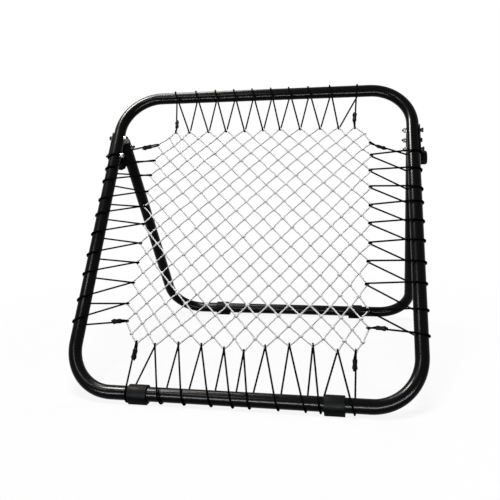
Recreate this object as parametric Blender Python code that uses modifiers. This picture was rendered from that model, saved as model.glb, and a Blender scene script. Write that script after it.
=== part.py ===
"""Soccer rebounder: a leaning square tube frame with a laced net and a folding rear prop.

Metres, +Z up. The net faces -Y, the prop stands behind it, and the origin lies on the ground
in the middle of the footprint.
"""

from math import acos, atan2, cos, pi, radians, sin

import bmesh
import bpy
import numpy as np
from mathutils import Matrix, Vector

# Tubes, between centre lines
TUBE_DIAMETER = 0.038
TUBE_WALL = 0.0015
FRAME_WIDTH = 0.962
FRAME_HEIGHT = 0.962
FRAME_BEND_RADIUS = 0.130
PROP_LENGTH = 0.824
PROP_BEND_RADIUS = 0.120
LEG_OVERRUN = 0.022

# Hinge: its pivots lie behind the tubes just below the frame's bends
HINGE_BELOW_BEND = 0.020
PIVOT_BACK = 0.065
OPENING_ANGLE = radians(65)
UPPER_BOLT_DROP = 0.003
PLATE_BOLT_SPACING = 0.067
LOCK_RADIUS = 0.069
PLATE_THICKNESS = 0.003
PLATE_FRONT_EDGE = 0.010
PLATE_TOP_RISE = 0.018
PLATE_CORNER_RADIUS = 0.003
PLATE_END_RADIUS = 0.009
PLATE_PIVOT_RADIUS = 0.016
PLATE_LOCK_MARGIN = 0.011
PLATE_EDGE_ROUND = 0.0005

# M8 fasteners
THREAD_RADIUS = 0.004
HEX_ACROSS_FLATS = 0.013
HEAD_HEIGHT = 0.0053
SHOULDER_LENGTH = 0.004
SHOULDER_RADIUS = 0.0055
NUT_HEIGHT = 0.0065
WASHER_RADIUS = 0.008
WASHER_THICKNESS = 0.0016
BOLT_TIP = 0.004
RIVET_NUT_RADIUS = 0.0055
RIVET_NUT_LENGTH = 0.015
RIVET_COLLAR_RADIUS = 0.007
RIVET_COLLAR_LENGTH = 0.003

# Lock knobs
KNOB_RADIUS = 0.0225
KNOB_GRIP_LENGTH = 0.0215
KNOB_HUB_RADIUS = 0.010
KNOB_HUB_LENGTH = 0.004
KNOB_FLUTES = 8
KNOB_FLUTE_DEPTH = 0.0022
KNOB_EDGE_ROUND = 0.0045
STUD_IN_KNOB = 0.016

# Clip-on feet and the plugs in the prop's ends
FOOT_LENGTH = 0.053
FOOT_WALL = 0.005
SOLE_DROP = 0.008
SOLE_WIDTH = 0.024
SOLE_CORNER_RADIUS = 0.004
FOOT_SPLIT = 0.004
FOOT_SPLIT_ANGLE = radians(20)
FOOT_EDGE_ROUND = 0.001
MAIN_FOOT_PLACES = {1: 0.2595, -1: -0.2685}
PROP_FOOT_OFFSET = 0.271
PLUG_CAP_THICKNESS = 0.0025
PLUG_STEM_LENGTH = 0.012
PLUG_STEM_WALL = 0.003
PLUG_EDGE_ROUND = 0.001

# Net, hung on its corner: the mesh size is one side of a square mesh
MESH_SIDE = 0.0412
NET_CORD = 0.004
LACING_REACH = 0.131

# Elastic lacing: one cord to a side, spiralled round the tube
CORD_RADIUS = 0.00225
CORD_LIFT = 0.0012
STRAND_GAP = 0.0005
TURN_POINTS = 5
TURN_CLEARANCE = 0.001
TIP_SPREAD = 0.0012
SLEEVE_LENGTH = 0.026
SLEEVE_WALL = 0.0011
SLEEVE_START = 0.020
TAIL_STRAIGHT = 0.009
# How far each turn sits from midway between its two net tips, as a share of the tips'
# spacing: left to right along the top and bottom, downwards along the sides
TURN_SHIFTS = {
    "top": (-0.73, -0.48, -0.31, -0.21, -0.13, -0.04, -0.01, 0.09, 0.31, 0.85),
    "bottom": (-0.64, 0.04, 0.13, 0.40, 0.40, 0.17, 0.47, 0.69, 0.34, 0.81),
    "left": (-0.21, 0.01, 0.23, 0.09, 0.19, 0.09, -0.08, -0.12, -0.48, -0.57),
    "right": (-0.21, -0.26, -0.34, -0.08, -0.09, -0.10, -0.21, -0.23, -0.48, -0.64),
}
# Sides whose cord leaves each net tip over the front of the tube and comes back behind it
FRONT_FIRST = {"top": False, "bottom": True, "left": True, "right": False}

# Clearances and smoothness
SEAT_GAP = 0.0003
BEND_STEPS = 7
TUBE_RESOLUTION = 6
BORE_RESOLUTION = 4
ROUND_STEPS = 16
HOLE_STEPS = 12

# Worked out from the sizes above
TUBE_RADIUS = TUBE_DIAMETER / 2
BORE_RADIUS = TUBE_RADIUS - TUBE_WALL
# A bore drawn with flat sides comes this near to its axis
BORE_CLEAR = BORE_RADIUS * cos(pi / (4 + 2 * BORE_RESOLUTION))
TUBE_HEIGHT = TUBE_RADIUS + SOLE_DROP
PIVOT_UP = FRAME_HEIGHT - FRAME_BEND_RADIUS - HINGE_BELOW_BEND
BAR_UP = PIVOT_UP - PROP_LENGTH * cos(OPENING_ANGLE)
BAR_BACK = PIVOT_BACK + PROP_LENGTH * sin(OPENING_ANGLE)
LEAN = atan2(BAR_UP, BAR_BACK)
PROP_LEAN = OPENING_ANGLE - LEAN
FOOTPRINT = BAR_UP * sin(LEAN) + BAR_BACK * cos(LEAN)
SIDE_X = FRAME_WIDTH / 2
UPPER_BOLT_UP = PIVOT_UP - UPPER_BOLT_DROP
LOWER_BOLT_UP = UPPER_BOLT_UP - PLATE_BOLT_SPACING
HOLE_RADIUS = THREAD_RADIUS + SEAT_GAP
PLATE_INNER = TUBE_RADIUS + SEAT_GAP
PLATE_OUTER = PLATE_INNER + PLATE_THICKNESS
WASHER_OUTER = TUBE_RADIUS + SEAT_GAP
NUT_OUTER = WASHER_OUTER + WASHER_THICKNESS + SEAT_GAP
BOLT_REACH = NUT_OUTER + NUT_HEIGHT + BOLT_TIP
HEX_RADIUS = HEX_ACROSS_FLATS / 2 / cos(pi / 6)
FOOT_INNER = TUBE_RADIUS + SEAT_GAP
FOOT_OUTER = FOOT_INNER + FOOT_WALL - SEAT_GAP

# A flat outline turned so: its x runs back, its y runs up and its thickness lies across
UPRIGHT = Matrix(((0, 0, 1, 0), (1, 0, 0, 0), (0, 1, 0, 0), (0, 0, 0, 1)))
# A turned piece's axis pointed outwards on the right and left sides
OUTWARDS = {1: Matrix.Rotation(pi / 2, 4, "Y"), -1: Matrix.Rotation(-pi / 2, 4, "Y")}
SIDE_NAMES = {1: "right", -1: "left"}


def clear_scene():
    for obj in list(bpy.data.objects):
        bpy.data.objects.remove(obj, do_unlink=True)


def new_collection(name, hidden=False):
    made = bpy.data.collections.new(name)
    bpy.context.scene.collection.children.link(made)
    made.hide_render = hidden
    return made


def new_material(name, colour, roughness, metallic=0.0):
    made = bpy.data.materials.new(name)
    made.use_nodes = True
    shader = made.node_tree.nodes["Principled BSDF"]
    shader.inputs["Base Color"].default_value = (*colour, 1.0)
    shader.inputs["Roughness"].default_value = roughness
    shader.inputs["Metallic"].default_value = metallic
    made.diffuse_color = (*colour, 1.0)
    return made


def new_axis(name, place, lean):
    """An empty on a joint's axis or a tube's centre line, leaning about X."""
    axis = bpy.data.objects.new(name, None)
    axis.empty_display_size = 0.05
    axis.matrix_world = Matrix.Translation(place) @ Matrix.Rotation(lean, 4, "X")
    PARTS.objects.link(axis)
    return axis


def add_piece(name, shape, material, parent, place=(0, 0, 0), turn=Matrix()):
    """One named sub-part from a mesh or a curve, placed in its parent's frame."""
    piece = bpy.data.objects.new(name, shape)
    PARTS.objects.link(piece)
    if material.name not in shape.materials:
        shape.materials.append(material)
    piece.parent = parent
    piece.matrix_local = Matrix.Translation(place) @ turn
    return piece


def add_cutter(name, shape, parent, place=(0, 0, 0), turn=Matrix()):
    cutter = bpy.data.objects.new(name, shape)
    CUTTERS.objects.link(cutter)
    cutter.parent = parent
    cutter.matrix_local = Matrix.Translation(place) @ turn
    cutter.hide_render = True
    cutter.display_type = "WIRE"
    return cutter


def change_by(piece, operation, other):
    step = piece.modifiers.new(f"{operation.lower()} {other.name}", "BOOLEAN")
    step.operation = operation
    step.object = other


def finished_mesh(shape, modify=None, smooth=True):
    """The mesh of a curve or a mesh after its modifiers, closed and shaded."""
    maker = bpy.data.objects.new("maker", shape)
    CUTTERS.objects.link(maker)
    if modify:
        modify(maker)
    graph = bpy.context.evaluated_depsgraph_get()
    graph.update()
    mesh = bpy.data.meshes.new_from_object(maker.evaluated_get(graph))
    bpy.data.objects.remove(maker, do_unlink=True)
    work = bmesh.new()
    work.from_mesh(mesh)
    bmesh.ops.remove_doubles(work, verts=work.verts, dist=1e-6)
    work.to_mesh(mesh)
    work.free()
    if smooth:
        mesh.shade_smooth()
        mesh.set_sharp_from_angle(angle=radians(35))
    return mesh


def joined_mesh(first, second, operation="UNION"):
    """Two meshes made one by a Boolean."""
    other = bpy.data.objects.new("other", second)
    CUTTERS.objects.link(other)
    mesh = finished_mesh(first, lambda maker: change_by(maker, operation, other))
    bpy.data.objects.remove(other, do_unlink=True)
    return mesh


def curve_through(name, outlines, closed=True):
    """A curve with one POLY spline for each list of points."""
    curve = bpy.data.curves.new(name, "CURVE")
    for points in outlines:
        spline = curve.splines.new("POLY")
        spline.points.add(len(points) - 1)
        for slot, point in zip(spline.points, points):
            slot.co = (*point, *(0,) * (3 - len(point)), 1)
        spline.use_cyclic_u = closed
    return curve


def tube_along(name, points, radius, resolution, closed=False):
    curve = curve_through(name, [points], closed)
    curve.dimensions = "3D"
    curve.bevel_depth = radius
    curve.bevel_resolution = resolution
    curve.use_fill_caps = not closed
    return curve


def slab(name, outlines, thickness, edge_round=0.0):
    """A flat outline with any holes, made a slab about its own plane, its edges rounded."""
    curve = curve_through(name, outlines)
    curve.dimensions = "2D"
    curve.fill_mode = "BOTH"
    curve.extrude = thickness / 2 - edge_round
    curve.bevel_depth = edge_round
    curve.bevel_resolution = 0
    curve.offset = -edge_round
    return finished_mesh(curve)


def turned(name, profile, steps=ROUND_STEPS):
    """A profile of (radius, height), outer side from top to bottom, turned about its axis."""
    mesh = bpy.data.meshes.new(name)
    points = [(radius, 0, height) for radius, height in profile]
    loop = profile[0][0] > 0
    edges = [(i, i + 1) for i in range(len(points) - 1)]
    if loop:
        edges.append((len(points) - 1, 0))
    mesh.from_pydata(points, edges, [])

    def modify(maker):
        screw = maker.modifiers.new("turn", "SCREW")
        screw.steps = screw.render_steps = steps
        screw.use_merge_vertices = True
        screw.merge_threshold = 0.00001

    return finished_mesh(mesh, modify)


def arc(centre, radius, start, end, steps):
    """Points on a circle from one angle to another, both ends included."""
    angles = np.linspace(start, end, steps + 1)
    return [(centre[0] + radius * cos(a), centre[1] + radius * sin(a)) for a in angles]


def circle(centre, radius, steps=HOLE_STEPS):
    return arc(centre, radius, 0, 2 * pi, steps)[:-1]


def hexagon(radius):
    return circle((0, 0), radius, 6)


def wrapped_outline(circles, steps=24):
    """The tight outline round a set of circles given as (centre, radius)."""
    points = sorted(p for centre, radius in circles for p in circle(centre, radius, steps))
    halves = []
    for ordered in (points, points[::-1]):
        hull = []
        for p in ordered:
            while len(hull) > 1:
                (ax, ay), (bx, by) = hull[-2:]
                if (bx - ax) * (p[1] - ay) - (by - ay) * (p[0] - ax) > 1e-10:
                    break
                hull.pop()
            hull.append(p)
        halves.append(hull[:-1])
    return halves[0] + halves[1]


def cylinder(name, radius, depth, steps=ROUND_STEPS):
    mesh = bpy.data.meshes.new(name)
    work = bmesh.new()
    bmesh.ops.create_cone(
        work, cap_ends=True, segments=steps, radius1=radius, radius2=radius, depth=depth
    )
    work.to_mesh(mesh)
    work.free()
    return mesh


def frame_loop():
    """Centre line of the main frame: a square loop with four equal bends."""
    x, z, r = SIDE_X, FRAME_HEIGHT, FRAME_BEND_RADIUS
    corners = ((x - r, r, -pi / 2), (x - r, z - r, 0), (r - x, z - r, pi / 2), (r - x, r, pi))
    points = []
    for cx, cz, start in corners:
        points += arc((cx, cz), r, start, start + pi / 2, BEND_STEPS)
    return [(px, 0, pz) for px, pz in points]


def prop_line():
    """Centre line of the prop: down one leg, along the bar and up the other leg."""
    x, r, low = SIDE_X, PROP_BEND_RADIUS, -PROP_LENGTH
    points = [(-x, LEG_OVERRUN)]
    points += arc((r - x, low + r), r, pi, 3 * pi / 2, BEND_STEPS)
    points += arc((x - r, low + r), r, -pi / 2, 0, BEND_STEPS)
    points.append((x, LEG_OVERRUN))
    return [(px, 0, pz) for px, pz in points]


def drill(piece, parent, name, place, radius, depth=None):
    """A hole across the tube, through both walls unless a depth from its outer side is given."""
    length = depth or 2 * TUBE_DIAMETER
    side = 1 if place[0] > 0 else -1
    shift = side * (TUBE_DIAMETER - length / 2) if depth else 0
    middle = (place[0] + shift, place[1], place[2])
    mesh = cylinder(name, radius, length)
    change_by(piece, "DIFFERENCE", add_cutter(name, mesh, parent, middle, OUTWARDS[1]))


def make_main_frame(axis, material):
    shape = tube_along("main_frame", frame_loop(), TUBE_RADIUS, TUBE_RESOLUTION, True)
    frame = add_piece("main_frame", finished_mesh(shape), material, axis)
    hollow = tube_along("main_bore", frame_loop(), BORE_RADIUS, BORE_RESOLUTION, True)
    change_by(frame, "DIFFERENCE", add_cutter("main_bore", finished_mesh(hollow), axis))
    for side, where in SIDE_NAMES.items():
        for name, up in (("upper", UPPER_BOLT_UP), ("lower", LOWER_BOLT_UP)):
            drill(frame, axis, f"{name}_hole_{where}", (side * SIDE_X, 0, up), HOLE_RADIUS)


def make_prop_frame(axis, material):
    shape = tube_along("prop_frame", prop_line(), TUBE_RADIUS, TUBE_RESOLUTION)
    prop = add_piece("prop_frame", finished_mesh(shape), material, axis)
    line = prop_line()
    reach = Vector((0, 0, TUBE_DIAMETER))
    line[0] = tuple(Vector(line[0]) + reach)
    line[-1] = tuple(Vector(line[-1]) + reach)
    hollow = tube_along("prop_bore", line, BORE_RADIUS, BORE_RESOLUTION)
    change_by(prop, "DIFFERENCE", add_cutter("prop_bore", finished_mesh(hollow), axis))
    for side, where in SIDE_NAMES.items():
        x = side * SIDE_X
        drill(prop, axis, f"pivot_hole_{where}", (x, 0, 0), HOLE_RADIUS)
        hole = (x, 0, -LOCK_RADIUS)
        rivet_hole = RIVET_NUT_RADIUS + SEAT_GAP
        drill(prop, axis, f"lock_hole_{where}", hole, rivet_hole, TUBE_DIAMETER)


def make_plugs(axis, material):
    """Plugs in the open tops of the prop's legs: a rounded cap on a hollow stem."""
    cap = TUBE_RADIUS
    stem = BORE_CLEAR - SEAT_GAP
    top = PLUG_CAP_THICKNESS + SEAT_GAP
    profile = [
        (0, top),
        (cap - PLUG_EDGE_ROUND, top),
        (cap, top - PLUG_EDGE_ROUND),
        (cap, SEAT_GAP),
        (stem, SEAT_GAP),
        (stem, -PLUG_STEM_LENGTH),
        (stem - PLUG_STEM_WALL, -PLUG_STEM_LENGTH),
        (stem - PLUG_STEM_WALL, 0),
        (0, 0),
    ]
    mesh = turned("leg_plug", profile)
    for side, where in SIDE_NAMES.items():
        place = (side * SIDE_X, 0, LEG_OVERRUN)
        add_piece(f"leg_plug_{where}", mesh, material, axis, place)


def foot_outline():
    """A split ring round the tube that runs down into a flat sole."""
    half = SOLE_WIDTH / 2
    low = -TUBE_HEIGHT
    corner = SOLE_CORNER_RADIUS
    centre = (half - corner, low + corner)
    # The side wall is tangent to the sole's corner and to the ring
    away = np.hypot(*centre)
    lift = acos((FOOT_OUTER - corner) / away)
    touch = atan2(centre[1], centre[0]) + lift
    split = FOOT_SPLIT / 2
    rear = FOOT_SPLIT_ANGLE
    right = arc((0, 0), FOOT_OUTER, touch, rear - split / FOOT_OUTER, 3)
    left = arc((0, 0), FOOT_OUTER, rear + split / FOOT_OUTER, pi - touch, 12)
    turn = 2 * pi - 2 * split / FOOT_INNER
    inner = arc((0, 0), FOOT_INNER, rear + split / FOOT_INNER + turn, rear + split / FOOT_INNER, 18)
    corner_left = arc((-centre[0], centre[1]), corner, pi - touch, 3 * pi / 2, 3)
    corner_right = arc(centre, corner, -pi / 2, touch, 3)
    return left + corner_left + corner_right + right + inner


def make_feet(main_axis, prop_axis, material):
    mesh = slab("foot", [foot_outline()], FOOT_LENGTH, FOOT_EDGE_ROUND)
    upright = {
        "main": UPRIGHT @ Matrix.Rotation(LEAN, 4, "Z"),
        "prop": UPRIGHT @ Matrix.Rotation(-PROP_LEAN, 4, "Z"),
    }
    for side, where in SIDE_NAMES.items():
        place = (MAIN_FOOT_PLACES[side], 0, 0)
        add_piece(f"main_foot_{where}", mesh, material, main_axis, place, upright["main"])
        place = (side * PROP_FOOT_OFFSET, 0, -PROP_LENGTH)
        add_piece(f"prop_foot_{where}", mesh, material, prop_axis, place, upright["prop"])


def lock_place(angle):
    """Place of the lock stud, back and up, with the prop opened by an angle."""
    return (PIVOT_BACK + LOCK_RADIUS * sin(angle), PIVOT_UP - LOCK_RADIUS * cos(angle))


def lock_slot():
    """Outline of the curved slot that the lock stud runs in."""
    pivot = (PIVOT_BACK, PIVOT_UP)
    start, end = -pi / 2, OPENING_ANGLE - pi / 2
    outline = arc(pivot, LOCK_RADIUS + HOLE_RADIUS, start, end, 9)
    outline += arc(lock_place(OPENING_ANGLE), HOLE_RADIUS, end, end + pi, 6)[1:-1]
    outline += arc(pivot, LOCK_RADIUS - HOLE_RADIUS, end, start, 7)
    outline += arc(lock_place(0), HOLE_RADIUS, start + pi, start + 2 * pi, 6)[1:-1]
    return outline


def plate_outline():
    corner = PLATE_CORNER_RADIUS
    top = (corner - PLATE_FRONT_EDGE, UPPER_BOLT_UP + PLATE_TOP_RISE - corner)
    circles = [
        (top, corner),
        ((0, LOWER_BOLT_UP), PLATE_END_RADIUS),
        ((PIVOT_BACK, PIVOT_UP), PLATE_PIVOT_RADIUS),
    ]
    for angle in np.linspace(0, OPENING_ANGLE, 7):
        circles.append((lock_place(angle), PLATE_LOCK_MARGIN))
    return wrapped_outline(circles)


def make_hinge_plates(axis, material):
    holes = [
        circle((0, UPPER_BOLT_UP), HOLE_RADIUS),
        circle((0, LOWER_BOLT_UP), HOLE_RADIUS),
        circle((PIVOT_BACK, PIVOT_UP), HOLE_RADIUS),
        lock_slot(),
    ]
    outlines = [plate_outline(), *holes]
    mesh = slab("hinge_plate", outlines, PLATE_THICKNESS, PLATE_EDGE_ROUND)
    middle = SIDE_X + (PLATE_INNER + PLATE_OUTER) / 2
    for side, where in SIDE_NAMES.items():
        add_piece(f"hinge_plate_{where}", mesh, material, axis, (side * middle, 0, 0), UPRIGHT)


def bolt_mesh():
    """A shouldered hex bolt whose axis points outwards, from the tube's centre line."""
    seat = PLATE_OUTER + SEAT_GAP
    low = -BOLT_REACH
    neck_top = seat + SHOULDER_LENGTH + HEAD_HEIGHT / 2
    profile = [
        (0, neck_top),
        (SHOULDER_RADIUS, neck_top),
        (SHOULDER_RADIUS, seat),
        (THREAD_RADIUS, seat),
        (THREAD_RADIUS, low + THREAD_RADIUS / 4),
        (THREAD_RADIUS * 3 / 4, low),
        (0, low),
    ]
    head = slab("bolt_head", [hexagon(HEX_RADIUS)], HEAD_HEIGHT)
    head.transform(Matrix.Translation((0, 0, neck_top)))
    mesh = joined_mesh(turned("bolt_shank", profile), head)
    mesh.name = "bolt"
    return mesh


def make_fasteners(main_axis, dark, bright):
    """Two plate bolts and a pivot bolt on each side, each with its washer and nut."""
    bolt = bolt_mesh()
    nut = slab("nut", [hexagon(HEX_RADIUS), circle((0, 0), HOLE_RADIUS)], NUT_HEIGHT)
    washer = slab(
        "washer",
        [circle((0, 0), WASHER_RADIUS, ROUND_STEPS), circle((0, 0), HOLE_RADIUS)],
        WASHER_THICKNESS,
    )
    places = (
        ("upper", 0, UPPER_BOLT_UP),
        ("lower", 0, LOWER_BOLT_UP),
        ("pivot", PIVOT_BACK, PIVOT_UP),
    )
    for side, where in SIDE_NAMES.items():
        turn = OUTWARDS[side]
        for name, back, up in places:
            label = f"{name}_{{}}_{where}"
            place = (side * SIDE_X, back, up)
            add_piece(label.format("bolt"), bolt, dark, main_axis, place, turn)
            nut_x = SIDE_X - NUT_OUTER - NUT_HEIGHT / 2
            add_piece(label.format("nut"), nut, bright, main_axis, (side * nut_x, back, up), turn)
            washer_x = SIDE_X - WASHER_OUTER - WASHER_THICKNESS / 2
            place = (side * washer_x, back, up)
            add_piece(label.format("washer"), washer, bright, main_axis, place, turn)


def knob_mesh():
    """A fluted grip on a round hub, with a blind hole for the stud."""
    inset = KNOB_RADIUS - KNOB_FLUTE_DEPTH / 2
    points = []
    for a in np.linspace(0, 2 * pi, 6 * KNOB_FLUTES, endpoint=False):
        r = inset + KNOB_FLUTE_DEPTH / 2 * cos(KNOB_FLUTES * a)
        points.append((r * cos(a), r * sin(a)))
    grip = slab("knob_grip", [points], KNOB_GRIP_LENGTH, KNOB_EDGE_ROUND)
    seat = PLATE_OUTER + SEAT_GAP
    grip.transform(Matrix.Translation((0, 0, seat + KNOB_HUB_LENGTH + KNOB_GRIP_LENGTH / 2)))
    overlap = KNOB_GRIP_LENGTH / 2
    hub = cylinder("knob_hub", KNOB_HUB_RADIUS, KNOB_HUB_LENGTH + overlap)
    hub.transform(Matrix.Translation((0, 0, seat + (KNOB_HUB_LENGTH + overlap) / 2)))
    body = joined_mesh(grip, hub)
    bore = cylinder("knob_bore", HOLE_RADIUS, 2 * (STUD_IN_KNOB + SEAT_GAP))
    bore.transform(Matrix.Translation((0, 0, seat)))
    mesh = joined_mesh(body, bore, "DIFFERENCE")
    mesh.name = "lock_knob"
    return mesh


def make_locks(prop_axis, knob_axes, knob_material, steel):
    """A knob with its stud, which screws into a rivet nut in the prop's leg."""
    knob = knob_mesh()
    tip = TUBE_RADIUS - SEAT_GAP - RIVET_NUT_LENGTH
    top = PLATE_OUTER + SEAT_GAP + STUD_IN_KNOB
    stud = cylinder("knob_stud", THREAD_RADIUS, top - tip, HOLE_STEPS)
    stud.transform(Matrix.Translation((0, 0, (top + tip) / 2)))
    # The collar's rim must clear the curved inside of the tube
    rim = (BORE_CLEAR**2 - RIVET_COLLAR_RADIUS**2) ** 0.5 - SEAT_GAP
    barrel, bore = RIVET_NUT_RADIUS, HOLE_RADIUS
    profile = [
        (barrel, TUBE_RADIUS),
        (barrel, rim),
        (RIVET_COLLAR_RADIUS, rim),
        (RIVET_COLLAR_RADIUS, rim - RIVET_COLLAR_LENGTH),
        (barrel, rim - RIVET_COLLAR_LENGTH),
        (barrel, TUBE_RADIUS - RIVET_NUT_LENGTH),
        (bore, TUBE_RADIUS - RIVET_NUT_LENGTH),
        (bore, TUBE_RADIUS),
    ]
    rivet_nut = turned("rivet_nut", profile, HOLE_STEPS)
    for side, where in SIDE_NAMES.items():
        turn = OUTWARDS[side]
        add_piece(f"lock_knob_{where}", knob, knob_material, knob_axes[side], turn=turn)
        add_piece(f"knob_stud_{where}", stud, steel, knob_axes[side], turn=turn)
        place = (side * SIDE_X, 0, -LOCK_RADIUS)
        add_piece(f"rivet_nut_{where}", rivet_nut, steel, prop_axis, place, turn)


def net_reach(across):
    """Half the net's width or height: its tips end this far from its middle."""
    return (FRAME_WIDTH if across else FRAME_HEIGHT) / 2 - LACING_REACH


def mesh_count(across):
    """How many whole meshes fit side by side, each hung on its corner."""
    return round(2 * net_reach(across) / (MESH_SIDE * 2**0.5))


def make_net(axis, material):
    """Square meshes hung on their corners, drawn as a flat lattice of cord."""
    columns, rows = 2 * mesh_count(True), 2 * mesh_count(False)
    wide, tall = net_reach(True), net_reach(False)
    work = bmesh.new()
    grid = {}
    for u in range(columns + 1):
        for v in range(u % 2, rows + 1, 2):
            x = wide * (2 * u / columns - 1)
            z = FRAME_HEIGHT / 2 + tall * (2 * v / rows - 1)
            grid[u, v] = work.verts.new((x, 0, z))
    for u in range(1, columns):
        for v in range(1 + u % 2, rows, 2):
            ring = ((u - 1, v), (u, v - 1), (u + 1, v), (u, v + 1))
            work.faces.new([grid[place] for place in ring])
    loose = [vert for vert in work.verts if not vert.link_faces]
    bmesh.ops.delete(work, geom=loose, context="VERTS")
    sheet = bpy.data.meshes.new("net")
    work.to_mesh(sheet)
    work.free()
    net = add_piece("net", sheet, material, axis)
    lattice = net.modifiers.new("cords", "WIREFRAME")
    lattice.thickness = NET_CORD
    lattice.use_even_offset = True
    lattice.use_boundary = True


def taken_stretches(name):
    """Where along a side its tube carries a foot or a hinge plate, from low to high."""
    if name == "bottom":
        half = FOOT_LENGTH / 2
        return [(place - half, place + half) for place in MAIN_FOOT_PLACES.values()]
    if name in ("left", "right"):
        middle = FRAME_HEIGHT / 2
        low = LOWER_BOLT_UP - PLATE_END_RADIUS - middle
        return [(low, UPPER_BOLT_UP + PLATE_TOP_RISE - middle)]
    return []


class LacedSide:
    """One side of the frame, in its own terms: along it, out from the middle, and back."""

    def __init__(self, name):
        self.name = name
        flat = name in ("top", "bottom")
        self.tube_out = (FRAME_HEIGHT if flat else FRAME_WIDTH) / 2
        count = mesh_count(flat) - 1
        reach = net_reach(flat) * (count - 1) / (count + 1)
        order = 1 if flat else -1
        self.tips = np.linspace(-order * reach, order * reach, count)
        shifts = TURN_SHIFTS[name]
        spread = (len(shifts) - 1) * np.linspace(0, 1, count - 1)
        midway = (self.tips[:-1] + self.tips[1:]) / 2
        spacing = abs(self.tips[1] - self.tips[0])
        self.turns = midway + spacing * np.interp(spread, range(len(shifts)), shifts)
        self.taken = taken_stretches(name)
        for low, high in self.taken:
            low -= CORD_RADIUS + TURN_CLEARANCE
            high += CORD_RADIUS + TURN_CLEARANCE
            inside = (self.turns > low) & (self.turns < high)
            nearest = np.where(self.turns - low < high - self.turns, low, high)
            self.turns = np.where(inside, nearest, self.turns)
        self.order = order
        # The cord sits inside the last mesh, clear of its two strands
        nest = (NET_CORD / 2 + CORD_RADIUS + SEAT_GAP) * 2**0.5
        self.tip_out = net_reach(not flat) - nest
        self.tip_back = NET_CORD / 2 + CORD_RADIUS + SEAT_GAP * 2
        self.first = -1 if FRONT_FIRST[name] else 1

    def point(self, along, out, back):
        middle = FRAME_HEIGHT / 2
        return {
            "top": Vector((along, back, middle + out)),
            "bottom": Vector((along, back, middle - out)),
            "right": Vector((out, back, middle + along)),
            "left": Vector((-out, back, middle + along)),
        }[self.name]

    def crosses_foot(self, place, tip):
        """Whether a run from a turn to a net tip passes over the end of a foot."""
        rise = (FOOT_OUTER + CORD_RADIUS) / (self.tube_out - self.tip_out)
        ends = sorted((place, place + (tip - place) * rise))
        return self.name == "bottom" and any(
            ends[0] - CORD_RADIUS < high and ends[1] + CORD_RADIUS > low
            for low, high in self.taken
        )

    def turn_round_tube(self, number):
        """Corners of the path round the tube, each leg of it tangent to the tube's skin.

        A run that passes over a foot starts at a corner that lies outside the foot's ring."""
        skin = TUBE_RADIUS + CORD_RADIUS + CORD_LIFT
        inward = acos(skin / (self.tube_out - self.tip_out))
        step = (2 * pi - 2 * inward) / TURN_POINTS
        place = self.turns[number]
        edge = self.tube_out + skin
        reach = [skin] * TURN_POINTS
        for i, tip in ((0, self.tips[number]), (-1, self.tips[number + 1])):
            if self.crosses_foot(place, tip):
                reach[i] = FOOT_OUTER + CORD_RADIUS + CORD_LIFT
        path = []
        for i in range(TURN_POINTS):
            angle = inward + (i + 0.5) * step
            corner = reach[i] / cos(step / 2)
            out = self.tube_out - corner * cos(angle)
            back = self.first * corner * sin(angle)
            along = place
            if back < -CORD_RADIUS:
                # Over the front the cord keeps the slant of its run from the net
                tip = self.tips[number + (self.first > 0)]
                along = tip + (place - tip) * (out - self.tip_out) / (edge - self.tip_out)
            path.append(self.point(along, out, back))
        return path

    def tip(self, number):
        """Through the net's last mesh, from one face to the other."""
        along, out, back = self.tips[number], self.tip_out, self.first * self.tip_back
        lean = self.order * TIP_SPREAD
        return [
            self.point(along - lean, out + TIP_SPREAD, -back),
            self.point(along, out, 0),
            self.point(along + lean, out + TIP_SPREAD, back),
        ]

    def doubled_end(self, number, face, towards):
        """The cord's end passed through the net and laid back beside its own run.

        Returns the path from the tail to the net, and the place and axes of the sleeve
        that holds the two strands together."""
        start = self.point(self.tips[number], self.tip_out, face * self.tip_back)
        other = self.point(self.tips[number], self.tip_out, -face * self.tip_back)
        run = (towards - start).normalized()
        in_plane = Vector((run.x, 0, run.z)).normalized()
        across = (Vector((0, face, 0)) - run * face * run.y).normalized()
        apart = 2 * CORD_RADIUS + STRAND_GAP
        mouth = start + run * SLEEVE_START
        beside = mouth - across * apart
        tail = beside + run * SLEEVE_LENGTH
        path = [tail, beside, other + in_plane * TAIL_STRAIGHT, other, start]
        middle = mouth - across * apart / 2 + run * (SEAT_GAP + SLEEVE_LENGTH / 2)
        side = run.cross(across)
        axes = Matrix((across, side, run)).transposed().to_4x4()
        return path, Matrix.Translation(middle) @ axes

    def route(self):
        turns = [self.turn_round_tube(i) for i in range(len(self.turns))]
        first, first_sleeve = self.doubled_end(0, self.first, turns[0][0])
        last, last_sleeve = self.doubled_end(len(self.tips) - 1, -self.first, turns[-1][-1])
        path = list(first)
        for i, turn in enumerate(turns):
            path += (self.tip(i) if i else []) + turn
        return path + last[::-1], (first_sleeve, last_sleeve)


def sleeve_mesh():
    """A flattened ring round two strands that lie side by side."""
    half = CORD_RADIUS + STRAND_GAP / 2
    inner = CORD_RADIUS + SEAT_GAP
    outlines = []
    for radius, steps in ((inner + SLEEVE_WALL, 6), (inner, 5)):
        ends = arc((half, 0), radius, -pi / 2, pi / 2, steps)
        ends += arc((-half, 0), radius, pi / 2, 3 * pi / 2, steps)
        outlines.append(ends)
    return slab("end_sleeve", outlines, SLEEVE_LENGTH)


def least_gap(path):
    """Least gap between runs of one cord that aren't neighbours, surface to surface."""
    points = np.array([tuple(p) for p in path])
    fine = np.concatenate(
        [np.linspace(a, b, 12, endpoint=False) for a, b in zip(points[:-1], points[1:])]
    )
    along = np.concatenate([[0], np.cumsum(np.linalg.norm(np.diff(fine, axis=0), axis=1))])
    least = np.inf
    for i, here in enumerate(fine):
        far = along - along[i] > 8 * CORD_RADIUS
        if far.any():
            least = min(least, np.linalg.norm(fine[far] - here, axis=1).min())
    return least - 2 * CORD_RADIUS


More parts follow.
